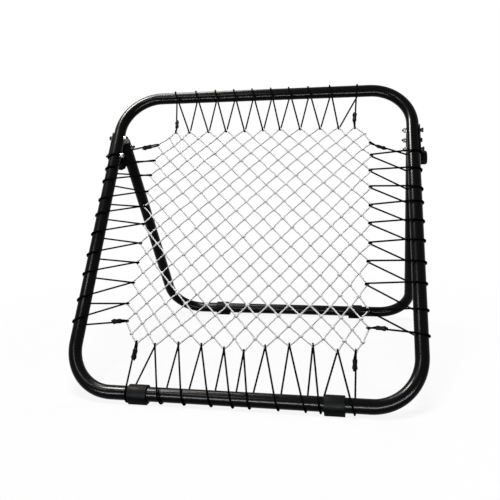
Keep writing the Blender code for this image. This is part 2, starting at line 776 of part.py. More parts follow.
def make_lacing(axis, cord_material, sleeve_material):
    sleeve = sleeve_mesh()
    for name in TURN_SHIFTS:
        path, holders = LacedSide(name).route()
        cord = tube_along(f"lacing_{name}", path, CORD_RADIUS, 1)
        add_piece(f"lacing_{name}", finished_mesh(cord), cord_material, axis)
        for place, end in zip(holders, ("start", "end")):
            label = f"end_sleeve_{name}_{end}"
            piece = add_piece(label, sleeve, sleeve_material, axis)
            piece.matrix_local = place
        length = sum((b - a).length for a, b in zip(path[:-1], path[1:]))
        print(f"lacing {name}: {length:.3f} m, least gap {least_gap(path) * 1000:.2f} mm")


clear_scene()
PARTS = new_collection("soccer_rebounder")
CUTTERS = new_collection("cutters", hidden=True)

frame_origin = Vector((0, -FOOTPRINT / 2, TUBE_HEIGHT))
main_axis = new_axis("main_axis", frame_origin, -LEAN)
bpy.context.view_layer.update()
pivot_origin = main_axis.matrix_world @ Vector((0, PIVOT_BACK, PIVOT_UP))
prop_axis = new_axis("prop_axis", pivot_origin, PROP_LEAN)
bpy.context.view_layer.update()
knob_axes = {}
for side, where in SIDE_NAMES.items():
    place = prop_axis.matrix_world @ Vector((side * SIDE_X, 0, -LOCK_RADIUS))
    knob_axes[side] = new_axis(f"knob_axis_{where}", place, 0)
    knob_axes[side].parent = prop_axis
    knob_axes[side].matrix_parent_inverse = prop_axis.matrix_world.inverted()
bpy.context.view_layer.update()

gloss_black = new_material("gloss_black_paint", (0.012, 0.012, 0.014), 0.22)
satin_black = new_material("satin_black_plastic", (0.035, 0.036, 0.04), 0.5)
plate_black = new_material("black_plate_paint", (0.014, 0.014, 0.015), 0.35)
black_oxide = new_material("black_oxide_steel", (0.03, 0.03, 0.032), 0.4, 0.8)
zinc = new_material("zinc_plated_steel", (0.72, 0.73, 0.74), 0.28, 1.0)
grey_plastic = new_material("grey_plastic", (0.33, 0.33, 0.3), 0.55)
net_white = new_material("white_twine", (0.86, 0.86, 0.85), 0.75)
elastic_black = new_material("black_elastic", (0.02, 0.02, 0.022), 0.7)
sleeve_black = new_material("black_sleeve", (0.025, 0.025, 0.027), 0.55)

make_main_frame(main_axis, gloss_black)
make_prop_frame(prop_axis, gloss_black)
make_plugs(prop_axis, grey_plastic)
make_feet(main_axis, prop_axis, satin_black)
make_hinge_plates(main_axis, plate_black)
make_fasteners(main_axis, black_oxide, zinc)
make_locks(prop_axis, knob_axes, satin_black, zinc)
make_net(main_axis, net_white)
make_lacing(main_axis, elastic_black, sleeve_black)
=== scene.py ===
"""Looks of a soccer rebounder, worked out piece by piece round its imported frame.

A leaning loop of gloss black tube holds a white net on four black elastic cords. A prop of the
same tube folds out behind it on two plated hinges. Every size is in metres, with +Z up.
"""

from math import asin, atan2, cos, pi, radians, sin, tan

import bmesh
import bpy
import numpy as np
from bpy.props import FloatProperty, FloatVectorProperty, IntProperty, PointerProperty
from mathutils import Matrix, Vector


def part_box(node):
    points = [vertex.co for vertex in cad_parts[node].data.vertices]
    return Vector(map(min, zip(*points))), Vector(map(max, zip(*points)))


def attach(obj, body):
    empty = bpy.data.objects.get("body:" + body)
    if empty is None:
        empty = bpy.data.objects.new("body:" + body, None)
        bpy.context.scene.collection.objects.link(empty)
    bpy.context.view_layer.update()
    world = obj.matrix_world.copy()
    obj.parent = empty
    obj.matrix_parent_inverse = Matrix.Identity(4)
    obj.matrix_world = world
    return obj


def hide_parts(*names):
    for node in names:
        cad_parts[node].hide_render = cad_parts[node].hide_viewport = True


bl_info = {
    "name": "Soccer rebounder",
    "version": (1, 0, 0),
    "blender": (4, 5, 0),
    "location": "3D View > Sidebar > Rebounder",
    "description": "Builds the tubes, hinges, net and lacing of a folding soccer rebounder",
    "category": "Object",
}

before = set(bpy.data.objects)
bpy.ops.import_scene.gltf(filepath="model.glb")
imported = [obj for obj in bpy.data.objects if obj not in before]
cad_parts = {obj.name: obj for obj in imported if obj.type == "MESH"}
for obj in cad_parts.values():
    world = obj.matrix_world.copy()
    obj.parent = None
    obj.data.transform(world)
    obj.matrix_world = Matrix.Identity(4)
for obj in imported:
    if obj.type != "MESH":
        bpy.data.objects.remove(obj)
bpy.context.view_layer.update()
SIDES = {"left": -1, "right": 1}

# Net tips as the photograph shows them, in millimetres from the middle of the frame: how far
# along their side, and how far out. Along the top and bottom they run left to right, and down
# the sides from the top.
TIP_PLACES = {
    "top": (-282.8, -236.1, -171.1, -111.8, -49.3, 11.3, 66.9, 131.6, 195.5, 254.2, 304.8),
    "bottom": (-298.4, -243.3, -175.6, -109.7, -44.4, 10.9, 69.1, 134.4, 198.3, 264.0, 312.0),
    "left": (296.9, 238.7, 185.5, 127.2, 75.2, 15.7, -47.3, -109.3, -171.8, -234.5, -285.7),
    "right": (286.3, 242.5, 190.7, 135.4, 75.1, 18.4, -42.4, -97.3, -163.0, -234.7, -283.2),
}
TIP_REACHES = {
    "top": (348.0, 347.0, 347.5, 348.0, 347.0, 348.5, 349.0, 348.0, 347.5, 347.0, 346.5),
    "bottom": (347.7, 352.5, 346.3, 347.4, 354.6, 360.0, 345.0, 338.0, 336.0, 349.2, 347.2),
    "left": (341.5, 344.8, 348.3, 350.7, 350.2, 343.0, 342.0, 340.0, 342.8, 349.1, 341.0),
    "right": (356.0, 358.0, 354.6, 354.9, 354.5, 352.8, 353.0, 347.7, 343.0, 346.3, 346.9),
}
# The net's four corner knots, across and up from the middle of the frame
CORNER_PLACES = {
    (1, 23): (-301.0, 324.0),
    (23, 23): (334.0, 321.0),
    (1, 1): (-318.0, -321.0),
    (23, 1): (330.0, -321.0),
}
# How far each turn of the cord round the tube sits from midway between its two even tips, as
# a share of the tips' spacing
TURN_SHIFTS = {
    "top": (-0.73, -0.48, -0.31, -0.21, -0.13, -0.04, -0.01, 0.09, 0.31, 0.85),
    "bottom": (-0.64, 0.04, 0.13, 0.40, 0.40, 0.17, 0.47, 0.69, 0.34, 0.81),
    "left": (-0.21, 0.01, 0.23, 0.09, 0.19, 0.09, -0.08, -0.12, -0.48, -0.57),
    "right": (-0.21, -0.26, -0.34, -0.08, -0.09, -0.10, -0.21, -0.23, -0.48, -0.64),
}
# Sides whose cord leaves each net tip over the front of the tube and comes back behind it
FRONT_FIRST = {"top": False, "bottom": True, "left": True, "right": False}


def size(name, description, default):
    return FloatProperty(
        name=name, description=description, default=default, min=0, unit="LENGTH", precision=4
    )


def colour(name, description, default):
    return FloatVectorProperty(
        name=name, description=description, default=default, size=3, min=0, max=1, subtype="COLOR"
    )


class RebounderSizes(bpy.types.PropertyGroup):
    """Sizes of the rebounder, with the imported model's own as the defaults of its tubes."""

    tube_diameter: size("Tube diameter", "Outside diameter of every tube", 0.038)
    frame_width: size("Frame width", "Between the centre lines of the side tubes", 0.962)
    frame_height: size("Frame height", "Between the centre lines of top and bottom", 0.962)
    frame_bend: size("Frame bend", "Centre line radius of the frame's bends", 0.130)
    prop_length: size("Prop length", "From the pivot to the middle of the prop's bar", 0.824)
    prop_bend: size("Prop bend", "Centre line radius of the prop's bends", 0.120)
    leg_overrun: size("Leg overrun", "How far the prop's legs run past the pivot", 0.022)
    pivot_up: size("Pivot height", "Pivot above the bottom tube, along the frame", 0.812)
    pivot_back: size("Pivot setback", "Pivot behind the frame's centre line", 0.065)
    bolt_spacing: size("Plate bolt spacing", "Between the two bolts of a hinge plate", 0.067)
    upper_bolt_drop: size("Upper bolt drop", "Upper bolt below the pivot's height", 0.003)
    lock_radius: size("Lock radius", "From the pivot to the lock stud", 0.069)
    plate_thickness: size("Plate thickness", "Thickness of the hinge plates", 0.003)
    foot_length: size("Foot length", "Length of each clip-on foot along its tube", 0.053)
    sole_drop: size("Sole drop", "Sole below the tube's underside", 0.008)
    cord_diameter: size("Lacing diameter", "Diameter of the elastic cord", 0.0051)
    twine_diameter: size("Twine diameter", "Diameter of the net's twine", 0.0046)
    knob_radius: size("Knob radius", "Over the lobes of a lock knob", 0.0225)
    net_sag: size("Net sag", "How far the net's middle hangs behind its edge", 0.005)
    opening: FloatProperty(
        name="Opening angle",
        description="Angle between the frame and the prop",
        default=radians(65),
        unit="ROTATION",
        subtype="ANGLE",
    )
    knob_lobes: IntProperty(
        name="Knob lobes", description="Lobes round a lock knob", default=8, min=3
    )


class RebounderColours(bpy.types.PropertyGroup):
    """Colours of the rebounder's finishes and of the stage."""

    paint: colour("Gloss paint", "Powder coat of the tubes", (0.0022, 0.0021, 0.0020))
    plate: colour("Plate paint", "Paint of the hinge plates", (0.0025, 0.0025, 0.0024))
    oxide: colour("Black oxide", "Bolt heads", (0.0070, 0.0068, 0.0066))
    zinc: colour("Zinc", "Nuts and washers", (0.22, 0.22, 0.225))
    knob: colour("Knob plastic", "Lock knobs", (0.0028, 0.0028, 0.0028))
    foot: colour("Foot plastic", "Clip-on feet", (0.0052, 0.0053, 0.0054))
    plug: colour("Plug plastic", "Plugs in the prop's legs", (0.20, 0.195, 0.17))
    twine: colour("Twine", "Net", (0.90, 0.90, 0.892))
    elastic: colour("Elastic", "Cover of the lacing cords", (0.0030, 0.0030, 0.0030))
    sleeve: colour("Sleeve", "Sleeves on the doubled cord ends", (0.0035, 0.0035, 0.0035))
    floor: colour("Floor", "Studio floor", (0.90, 0.90, 0.90))


# ---------------------------------------------------------------- places

# Left between pieces that touch, and between a bolt and its bore
GAP = 0.0003

# Bolts, nuts and washers of the 8 mm size
HEX_FLATS = 0.013
CHAMFER_RADIUS = HEX_FLATS * 0.475
HEAD_HEIGHT = 0.0053
SHOULDER_LENGTH = 0.004
SHOULDER_RADIUS = 0.0055
NUT_HEIGHT = 0.0065
WASHER_RADIUS = 0.008
WASHER_THICKNESS = 0.0016
THREAD_RADIUS = 0.004
THREAD_PITCH = 0.00125
BOLT_THREAD_DEPTH = 0.00035
STUD_THREAD_DEPTH = 0.0003
BOLT_TIP = 0.004


class Layout:
    """Sizes and places that follow from the rebounder's own sizes."""

    def __init__(self, s):
        self.radius = s.tube_diameter / 2
        self.side = s.frame_width / 2
        self.tube_height = self.radius + s.sole_drop
        bar_up = s.pivot_up - s.prop_length * cos(s.opening)
        bar_back = s.pivot_back + s.prop_length * sin(s.opening)
        lean = atan2(bar_up, bar_back)
        self.footprint = bar_up * sin(lean) + bar_back * cos(lean)
        origin = Matrix.Translation((0, -self.footprint / 2, self.tube_height))
        self.main = origin @ Matrix.Rotation(-lean, 4, "X")
        pivot = self.main @ Vector((0, s.pivot_back, s.pivot_up))
        self.prop = Matrix.Translation(pivot) @ Matrix.Rotation(s.opening - lean, 4, "X")
        self.upper_bolt = s.pivot_up - s.upper_bolt_drop
        self.lower_bolt = self.upper_bolt - s.bolt_spacing
        self.plate_inner = self.radius + GAP
        self.plate_outer = self.plate_inner + s.plate_thickness


def sizes():
    return bpy.context.scene.rebounder_sizes


def colours():
    return bpy.context.scene.rebounder_colours


def plan():
    """The sizes, and the places that follow from them."""
    return sizes(), Layout(sizes())


def outward(layout, base, side, back, up):
    """Matrix of a turned piece whose axis points outwards from a side tube's centre line."""
    turn = Matrix.Rotation(side * pi / 2, 4, "Y")
    return base @ Matrix.Translation((side * layout.side, back, up)) @ turn


# ---------------------------------------------------------------- surfaces


def unit(v):
    return v / np.linalg.norm(v, axis=-1, keepdims=True)


def placed(points, matrix):
    """Each point turned and shifted by a 4 x 4 matrix."""
    m = np.array(matrix)
    return points @ m[:3, :3].T + m[:3, 3]


def arc(centre, radius, start, end, steps):
    """Centre plus radius times (cos a, sin a), for a from start to end."""
    a = np.linspace(start, end, steps + 1)
    return np.stack([centre[0] + radius * np.cos(a), centre[1] + radius * np.sin(a)], -1)


def lengths(path):
    """Distance run along a path up to each of its points."""
    steps = np.linalg.norm(np.diff(path, axis=-2), axis=-1)
    start = np.zeros(steps.shape[:-1] + (1,))
    return np.concatenate([start, np.cumsum(steps, -1)], -1)


def swept(path, radius, sides, reference, tangent=None):
    """Skin round a path: path + radius (cos a N + sin a B), a from 0 to a whole turn.

    N is the reference direction made square to the path's tangent T, and B is T x N. The radius
    is a number, one for each point of the path, or one for each point of the skin."""
    if tangent is None:
        tangent = np.gradient(path, axis=-2)
    tangent = unit(tangent)
    reference = np.broadcast_to(reference, tangent.shape)
    normal = unit(reference - np.sum(reference * tangent, -1, keepdims=True) * tangent)
    binormal = np.cross(tangent, normal)
    a = np.linspace(0, 2 * pi, sides + 1)[:, None]
    ring = np.cos(a) * normal[..., None, :] + np.sin(a) * binormal[..., None, :]
    radius = np.asarray(radius, float)
    if radius.ndim < path.ndim:
        radius = np.broadcast_to(radius, path.shape[:-1])[..., None]
    return path[..., None, :] + radius[..., None] * ring


def skin_map(path, sides):
    """UV of a skin: turns round the path, and metres along it."""
    v = lengths(path)[..., None]
    u = np.linspace(0, 1, sides + 1)
    return np.stack(np.broadcast_arrays(u, v), -1)


def rounded_ends(path, radius, bulge):
    """A path run on past both ends by bulge r sin f where its radius is r cos f."""
    f = np.linspace(0, pi / 2, 5)[1:]
    out = bulge * radius * np.sin(f)[:, None]
    head = path[0] + unit(path[0] - path[1]) * out[::-1]
    tail = path[-1] + unit(path[-1] - path[-2]) * out
    radii = np.concatenate([np.cos(f[::-1]), np.ones(len(path)), np.cos(f)]) * radius
    return np.concatenate([head, path, tail]), radii


def lathed(profile, sides, radius_at=None):
    """A profile of (radius, height) carried round Z: (r cos a, r sin a, z).

    radius_at(r, z, a) may change both round the turn, as for a hexagon or lobes."""
    a = np.linspace(0, 2 * pi, sides + 1)
    r = np.broadcast_to(profile[:, :1], (len(profile), sides + 1))
    z = np.broadcast_to(profile[:, 1:], r.shape)
    if radius_at:
        r, z = radius_at(r, z, a)
    return np.stack([r * np.cos(a), r * np.sin(a), z], -1)


def grid_faces(shape):
    """Corner numbers of the four-sided faces of stacked grids."""
    number = np.arange(np.prod(shape)).reshape(shape)
    low, high = number[..., :-1, :], number[..., 1:, :]
    ring = (low[..., :-1], low[..., 1:], high[..., 1:], high[..., :-1])
    return np.stack(ring, -1).reshape(-1, 4)


def new_mesh(name, grids, sharp):
    """One mesh from grids of points, each with or without its UV, its doubles merged.

    Rows that shrink to a point become poles, and columns that meet become seams."""
    points, maps, faces, first = [], [], [], 0
    for grid in grids:
        skin, uv = grid if isinstance(grid, tuple) else (grid, np.zeros(grid.shape[:-1] + (2,)))
        points.append(skin.reshape(-1, 3))
        maps.append(uv.reshape(-1, 2))
        faces.append(grid_faces(skin.shape[:-1]) + first)
        first += len(points[-1])
    points, maps, faces = (np.concatenate(x) for x in (points, maps, faces))
    mesh = bpy.data.meshes.new(name)
    mesh.from_pydata(points, [], faces)
    layer = mesh.uv_layers.new(name="UVMap")
    layer.data.foreach_set("uv", maps[faces.ravel()].astype(np.float32).ravel())
    tidy(mesh, sharp)
    return mesh


def tidy(mesh, sharp):
    """Merges doubles, points the faces outwards and shades them smooth up to an angle."""
    work = bmesh.new()
    work.from_mesh(mesh)
    bmesh.ops.remove_doubles(work, verts=work.verts, dist=1e-6)
    bmesh.ops.recalc_face_normals(work, faces=work.faces)
    work.to_mesh(mesh)
    work.free()
    mesh.shade_smooth()
    mesh.set_sharp_from_angle(angle=radians(sharp))


def in_scene(name, data):
    thing = bpy.data.objects.new(name, data)
    bpy.context.scene.collection.objects.link(thing)
    return thing


def add_piece(mesh, slot, body, node, finish=None):
    """Puts a mesh in the scene, on its body, in its CAD node's place and with its slot's finish."""
    mesh.materials.append(finish_called(finish or slot))
    piece = in_scene(mesh.name, mesh)
    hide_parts(node)
    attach(piece, body)


def add_skin(name, skin, slot, body, node, sharp=40, finish=None):
    """Adds a piece whose mesh is one grid, with or without its UV."""
    add_piece(new_mesh(name, [skin], sharp), slot, body, node, finish)


# ---------------------------------------------------------------- finishes


class Value:
    """A number, colour or vector that leaves a node. Arithmetic on it adds Math nodes."""

    def __init__(self, nodes, socket):
        self.nodes = nodes
        self.socket = socket

    def __add__(self, other):
        return self.nodes.math("ADD", self, other)

    def __sub__(self, other):
        return self.nodes.math("SUBTRACT", self, other)

    def __rsub__(self, other):
        return self.nodes.math("SUBTRACT", other, self)

    def __mul__(self, other):
        return self.nodes.math("MULTIPLY", self, other)

    __radd__ = __add__


class Nodes:
    """A node tree under construction."""

    def __init__(self, tree):
        self.tree = tree

    def add(self, kind, settings=None, sockets=None, out=0):
        """Adds a node, its settings first and then its sockets, and gives one output."""
        node = self.tree.nodes.new(kind)
        for key, value in (settings or {}).items():
            setattr(node, key, value)
        for key, value in (sockets or {}).items():
            self.feed(node.inputs[key], value)
        return Value(self, node.outputs[out])

    def feed(self, socket, value):
        """Links a value to a socket, or writes a number, vector or colour on it."""
        if isinstance(value, Value):
            self.tree.links.new(value.socket, socket)
        elif hasattr(value, "__len__") and len(value) == 3 and len(socket.default_value) == 4:
            socket.default_value = (*value, 1)
        else:
            socket.default_value = value

    def math(self, operation, first, second=0.0):
        return self.add("ShaderNodeMath", {"operation": operation}, {0: first, 1: second})

    def backdrop_rays(self):
        """1 for the rays that show what is behind the object, in the picture or in its gloss."""
        rays = self.add("ShaderNodeLightPath").socket.node
        kinds = ("Is Camera Ray", "Is Glossy Ray", "Is Transmission Ray")
        camera, gloss, glass = (Value(self, rays.outputs[kind]) for kind in kinds)
        return self.math("MINIMUM", camera + gloss + glass, 1.0)


class Finish(Nodes):
    """A material under construction, with one Principled shader."""

    def __init__(self, name, preview):
        self.material = bpy.data.materials.new(name)
        self.material.use_nodes = True
        self.material.diffuse_color = (*preview, 1)
        super().__init__(self.material.node_tree)
        self.shader = self.tree.nodes["Principled BSDF"]

    def mix(self, factor, first, second):
        """Blends two colours."""
        sockets = {0: factor, 6: first, 7: second}
        return self.add("ShaderNodeMix", {"data_type": "RGBA"}, sockets, 2)

    def place(self, stretch=(1, 1, 1)):
        """The point on the piece, in metres, stretched along each axis."""
        coordinates = self.add("ShaderNodeTexCoord", out="Object")
        return self.add("ShaderNodeMapping", None, {"Vector": coordinates, "Scale": stretch})

    def noise(self, scale, detail=2.0, roughness=0.5, stretch=(1, 1, 1)):
        sockets = {"Scale": scale, "Detail": detail, "Roughness": roughness}
        sockets["Vector"] = self.place(stretch)
        return self.add("ShaderNodeTexNoise", None, sockets)

    def span(self, value, low, high, to_low=0.0, to_high=1.0):
        """A value's range stretched onto another by a smooth step, and held inside it."""
        sockets = {0: value, 1: low, 2: high, 3: to_low, 4: to_high}
        return self.add("ShaderNodeMapRange", {"interpolation_type": "SMOOTHSTEP"}, sockets)

    def bump(self, height, depth, strength=1.0):
        """Height from 0 to 1 raised by a depth in metres."""
        sockets = {"Height": height, "Distance": depth, "Strength": strength}
        return self.add("ShaderNodeBump", None, sockets)

    def around(self):
        """The UV of a cord as two numbers: turns round it, and metres along it."""
        uv = self.add("ShaderNodeTexCoord", out="UV")
        split = self.add("ShaderNodeSeparateXYZ", None, {0: uv})
        return split, Value(self, split.socket.node.outputs[1])

    def done(self, **sockets):
        """Feeds the shader's sockets, their names written with _ for a space."""
        for key, value in sockets.items():
            self.feed(self.shader.inputs[key.replace("_", " ")], value)
        return self.material


def lighter(shade, by):
    """A colour moved towards white."""
    return tuple(c + (1 - c) * by for c in shade)


def darker(shade, by):
    """A colour moved towards black."""
    return tuple(c * (1 - by) for c in shade)


def powder_coat(name, shade, roughness):
    """Sprayed and baked paint: a fine orange peel, faint dust and slightly uneven gloss."""
    f = Finish(name, shade)
    peel = f.noise(380)
    cloud = f.noise(9, 3, 0.6)
    dust = f.span(f.noise(900, 3, 0.7), 0.66, 0.80)
    return f.done(
        Base_Color=f.mix(dust * cloud * 0.5, shade, lighter(shade, 0.03)),
        Roughness=roughness + cloud * 0.06 + dust * 0.1,
        Specular_IOR_Level=0.035,
        Normal=f.bump(peel, 0.00002, 0.05),
    )


def worn_steel(name, shade, roughness, tint):
    """Turned and plated steel: fine machining marks, a tinted bloom and duller patches."""
    f = Finish(name, shade)
    marks = f.noise(900, 3, 0.6, (1, 1, 9))
    bloom = f.span(f.noise(120, 3, 0.55), 0.40, 0.65)
    dull = f.span(f.noise(260, 4, 0.65), 0.45, 0.75)
    return f.done(
        Base_Color=f.mix(bloom * 0.6, shade, tint),
        Metallic=1.0,
        Roughness=roughness + dull * 0.18 + marks * 0.08,
        Normal=f.bump(marks, 0.00002, 0.6),
    )


def moulded_plastic(name, shade, roughness, grain):
    """Moulded plastic: a spark-eroded grain, soft flow marks and handled patches."""
    f = Finish(name, shade)
    spark = f.noise(1500, 3, 0.6)
    flow = f.noise(45, 3, 0.5, (0.4, 1, 1))
    handled = f.span(f.noise(70), 0.45, 0.70)
    return f.done(
        Base_Color=f.mix(flow * 0.5, darker(shade, 0.15), lighter(shade, 0.004)),
        Roughness=roughness + spark * 0.12 - handled * 0.10,
        Specular_IOR_Level=0.015,
        Normal=f.bump(spark, grain, 0.6),
    )


def plied_twine(name, shade):
    """Three plies laid round each other: height 1 - (2t - 1)^2, t the place across a ply.

    A ply goes once round in 8.5 mm."""
    f = Finish(name, shade)
    u, v = f.around()
    across = f.math("FRACT", u * 3 + v * (3 / 0.0085)) * 2 - 1
    ply = 1 - across * across
    fibre = f.noise(1800, 3, 0.7)
    # Painted shade: the base colour is darker in the grooves between the plies, where their height
    # is low
    painted_groove_shade = f.mix(f.span(ply, 0.0, 0.35), darker(shade, 0.40), shade)
    return f.done(
        Base_Color=f.mix(f.noise(40) * 0.35, painted_groove_shade, darker(shade, 0.06)),
        Roughness=0.72 + fibre * 0.2,
        Specular_IOR_Level=0.0,
        Normal=f.bump(ply * 0.8 + fibre * 0.3, 0.0004, 0.8),
    )


def braided_cover(name, shade):
    """Yarns that cross in a braid: |sin(pi (n u + v/l))| times |sin(pi (n u - v/l))|.

    There are n = 8 yarns each way, and they cross every l = 2.6 mm."""
    f = Finish(name, shade)
    u, v = f.around()
    run = v * (1 / 0.0026)
    one = f.math("ABSOLUTE", f.math("SINE", (u * 8 + run) * pi))
    two = f.math("ABSOLUTE", f.math("SINE", (u * 8 - run) * pi))
    yarn = one * two
    fluff = f.noise(2200, 3, 0.7)
    return f.done(
        # Painted shade: the base colour is darker in the hollows between the yarns, where the bump
        # is low
        Base_Color=f.mix(yarn * 0.8 + fluff * 0.3, darker(shade, 0.5), lighter(shade, 0.008)),
        Roughness=0.80 + fluff * 0.15,
        Specular_IOR_Level=0.0,
        Normal=f.bump(yarn + fluff * 0.2, 0.00035, 0.8),
    )


def shrunk_sleeve(name, shade):
    """Heat-shrunk tubing: drawn creases along it over the cords' own ridges."""
    f = Finish(name, shade)
    crease = f.noise(320, 3, 0.6)
    drawn = f.math("SINE", f.around()[0] * (10 * pi) + crease * 9)
    return f.done(
        # Painted shade: the base colour is darker where the crease noise sinks the surface
        Base_Color=f.mix(crease, darker(shade, 0.3), lighter(shade, 0.004)),
        Roughness=0.42 + f.noise(1400) * 0.16,
        Specular_IOR_Level=0.015,
        Normal=f.bump(drawn * 0.4 + crease, 0.00025, 0.6),
    )


# Each finish: its maker, its colour's name among the colours, and what else the maker takes
FINISHES = {
    "gloss_black_paint": (powder_coat, "paint", 0.19),
    "black_plate_paint": (powder_coat, "plate", 0.30),
    "black_oxide_steel": (worn_steel, "oxide", 0.34, (0.0110, 0.0090, 0.0075)),
    "zinc_plated_steel": (worn_steel, "zinc", 0.26, (0.17, 0.17, 0.14)),
    "satin_black_plastic": (moulded_plastic, "knob", 0.42, 0.00004),
    "foot_plastic": (moulded_plastic, "foot", 0.46, 0.00004),
    "grey_plastic": (moulded_plastic, "plug", 0.50, 0.00003),
    "white_twine": (plied_twine, "twine"),
    "black_elastic": (braided_cover, "elastic"),
    "black_sleeve": (shrunk_sleeve, "sleeve"),
}


def finish_called(name):
    """A finish's material, made the first time that it is asked for."""
    made = bpy.data.materials.get(f"look_{name}")
    if made:
        return made
    maker, shade, *rest = FINISHES[name]
    return maker(f"look_{name}", tuple(getattr(colours(), shade)), *rest)


# ---------------------------------------------------------------- tubes

TUBE_SIDES = 64
BEND_ROWS = 24
# Rows on each side of a bend's ends, for the ridge that the bending die leaves
DIE_ROWS = np.array([1.0, 2.0, 3.0, 4.0, 5.0, 6.0, 7.5, 10.0, 30.0]) / 1000
DIE_RIDGE = 0.00012
DIE_RIDGE_WIDTH = 0.0015
DIE_RIDGE_AWAY = 0.004
# A bend's section is flattened by this share, reached over this length from each of its ends
BEND_FLATTENING = 0.025
FLATTENING_OVER = 0.025
# A sawn end's edge is broken by this much, and the tube's first whole row stands this far in
EDGE_BREAK = 0.0003
CUT_ROW = 0.01


class TubeLine:
    """Centre line of a bent tube in its own plane, as rows of points, tangents, how far each is
    bent and how far the die's ridge stands there."""

    def __init__(self):
        self.rows = []

    def add(self, points, tangents, bent=0, ridge=0):
        count = len(points)
        kept = [points, np.broadcast_to(tangents, (count, 2))]
        self.rows.append(kept + [np.broadcast_to(x, count) for x in (bent, ridge)])

    def straight(self, start, end, die_start=True, die_end=True):
        """start + t (end - start), with closer rows next to each bend.

        The ridge there is exp(-((d - away) / width)^2), d the distance from the bend."""
        start, end = np.array(start), np.array(end)
        whole = np.linalg.norm(end - start)
        head = DIE_ROWS if die_start else DIE_ROWS[:0]
        tail = whole - DIE_ROWS[::-1] if die_end else DIE_ROWS[:0]
        run = np.concatenate([head, tail])
        near = np.minimum(run if die_start else whole, whole - run if die_end else whole)
        ridge = np.exp(-(((near - DIE_RIDGE_AWAY) / DIE_RIDGE_WIDTH) ** 2))
        points = start + run[:, None] / whole * (end - start)
        self.add(points, (end - start) / whole, ridge=ridge)

    def bend(self, centre, radius, start):
        """A quarter turn. Its flattening rises from each end by t t (3 - 2 t)."""
        a = np.linspace(start, start + pi / 2, BEND_ROWS + 1)
        t = np.clip(np.minimum(a - a[0], a[-1] - a) * radius / FLATTENING_OVER, 0, 1)
        points = arc(centre, radius, start, start + pi / 2, BEND_ROWS)
        self.add(points, np.stack([-np.sin(a), np.cos(a)], -1), t * t * (3 - 2 * t))

    def cut_end(self, at, tangent, opening):
        """A sawn end with its edge broken: two rows in its plane and one just inside."""
        inwards = np.array(tangent) * (1 if opening else -1)
        place = np.array(at) + inwards * np.array([[0], [0], [EDGE_BREAK]])
        self.add(place if opening else place[::-1], tangent)

    def skin(self, radius, closed):
        """Radius r (1 + e cos 2a) in a bend, plus the die's ridge on the bend's inner side."""
        flat, tangent, bent, ridge = (np.concatenate(x) for x in zip(*self.rows))
        path, along = (np.insert(x, 1, 0, -1) for x in (flat, tangent))
        a = np.linspace(0, 2 * pi, TUBE_SIDES + 1)
        inner = (0.5 + 0.5 * np.sin(a)) ** 2
        r = radius * (1 + BEND_FLATTENING * bent[:, None] * np.cos(2 * a))
        r = r + DIE_RIDGE * ridge[:, None] * inner
        if not closed:
            r[0] = r[-1] = 0
            r[1] = r[-2] = radius - EDGE_BREAK
        skin = swept(path, r, TUBE_SIDES, (0, 1, 0), along)
        return np.concatenate([skin, skin[:1]]) if closed else skin


def main_tube_skin(s, layout):
    """Four bends from the lower right one round, each with the straight run that leaves it."""
    x, z, r = layout.side, s.frame_height, s.frame_bend
    bends = ((x - r, r), (x - r, z - r), (r - x, z - r), (r - x, r))
    runs = (
        ((x, r), (x, z - r)),
        ((x - r, z), (r - x, z)),
        ((-x, z - r), (-x, r)),
        ((r - x, 0), (x - r, 0)),
    )
    line = TubeLine()
    for quarter, (centre, run) in enumerate(zip(bends, runs)):
        line.bend(centre, r, (quarter - 1) * pi / 2)
        line.straight(*run)
    return placed(line.skin(layout.radius, True), layout.main)


def prop_tube_skin(s, layout):
    """A U from the top of the left leg down, across and up to the top of the right one."""
    x, r, low, top = layout.side, s.prop_bend, -s.prop_length, s.leg_overrun
    line = TubeLine()
    line.cut_end((-x, top), (0, -1), True)
    line.straight((-x, top - CUT_ROW), (-x, low + r), die_start=False)
    line.bend((r - x, low + r), r, pi)
    line.straight((r - x, low), (x - r, low))
    line.bend((x - r, low + r), r, -pi / 2)
    line.straight((x, low + r), (x, top - CUT_ROW), die_end=False)
    line.cut_end((x, top), (0, 1), False)
    return placed(line.skin(layout.radius, False), layout.prop)


class REBOUNDER_OT_make_tubes(bpy.types.Operator):
    """Skins the bent tubes of the frame and the prop"""

    bl_idname = "rebounder.make_tubes"
    bl_label = "Tubes"

    def execute(self, context):
        s, layout = plan()
        paint = "gloss_black_paint"
        add_skin("frame_tube", main_tube_skin(s, layout), paint, "frame", "main_frame")
        add_skin("prop_tube", prop_tube_skin(s, layout), paint, "prop", "prop_frame")
        return {"FINISHED"}


# ---------------------------------------------------------------- feet and plugs

FOOT_WALL = 0.005
FOOT_SPLIT = 0.004
FOOT_SPLIT_ANGLE = radians(20)
# How far the wall shrinks to close its ends, and the rounding of its four long edges
FOOT_CLOSING = 0.0008
FOOT_ROUNDING = 0.0009
SOLE_WIDTH = 0.024
SOLE_CORNER = 0.004
# The plug's cap above the tube's end, its dome and its edge, and the stem inside the tube
PLUG_CAP = 0.0028
PLUG_DOME = 0.0004
PLUG_ROUNDING = 0.0011
PLUG_STEM_RADIUS = 0.0165
PLUG_DEPTH = 0.012


def sleeve_reach(layout, angle):
    """Outer radius of a foot at an angle: the least of h(b) / cos(a - b) over all b.

    h is the outline's support, the most of centre . (cos b, sin b) + radius over the ring and
    the sole's two corners. Directions with cos(a - b) under 0.2 never hold the least."""
    half = SOLE_WIDTH / 2 - SOLE_CORNER
    low = SOLE_CORNER - layout.tube_height
    ring = layout.radius + FOOT_WALL
    b = np.linspace(0, 2 * pi, 1441)
    rounds = ((0, 0, ring), (half, low, SOLE_CORNER), (-half, low, SOLE_CORNER))
    support = np.max([x * np.cos(b) + y * np.sin(b) + r for x, y, r in rounds], axis=0)
    facing = np.cos(angle[:, None] - b)
    return np.min(np.where(facing > 0.2, support / np.maximum(facing, 0.2), 1), axis=1)


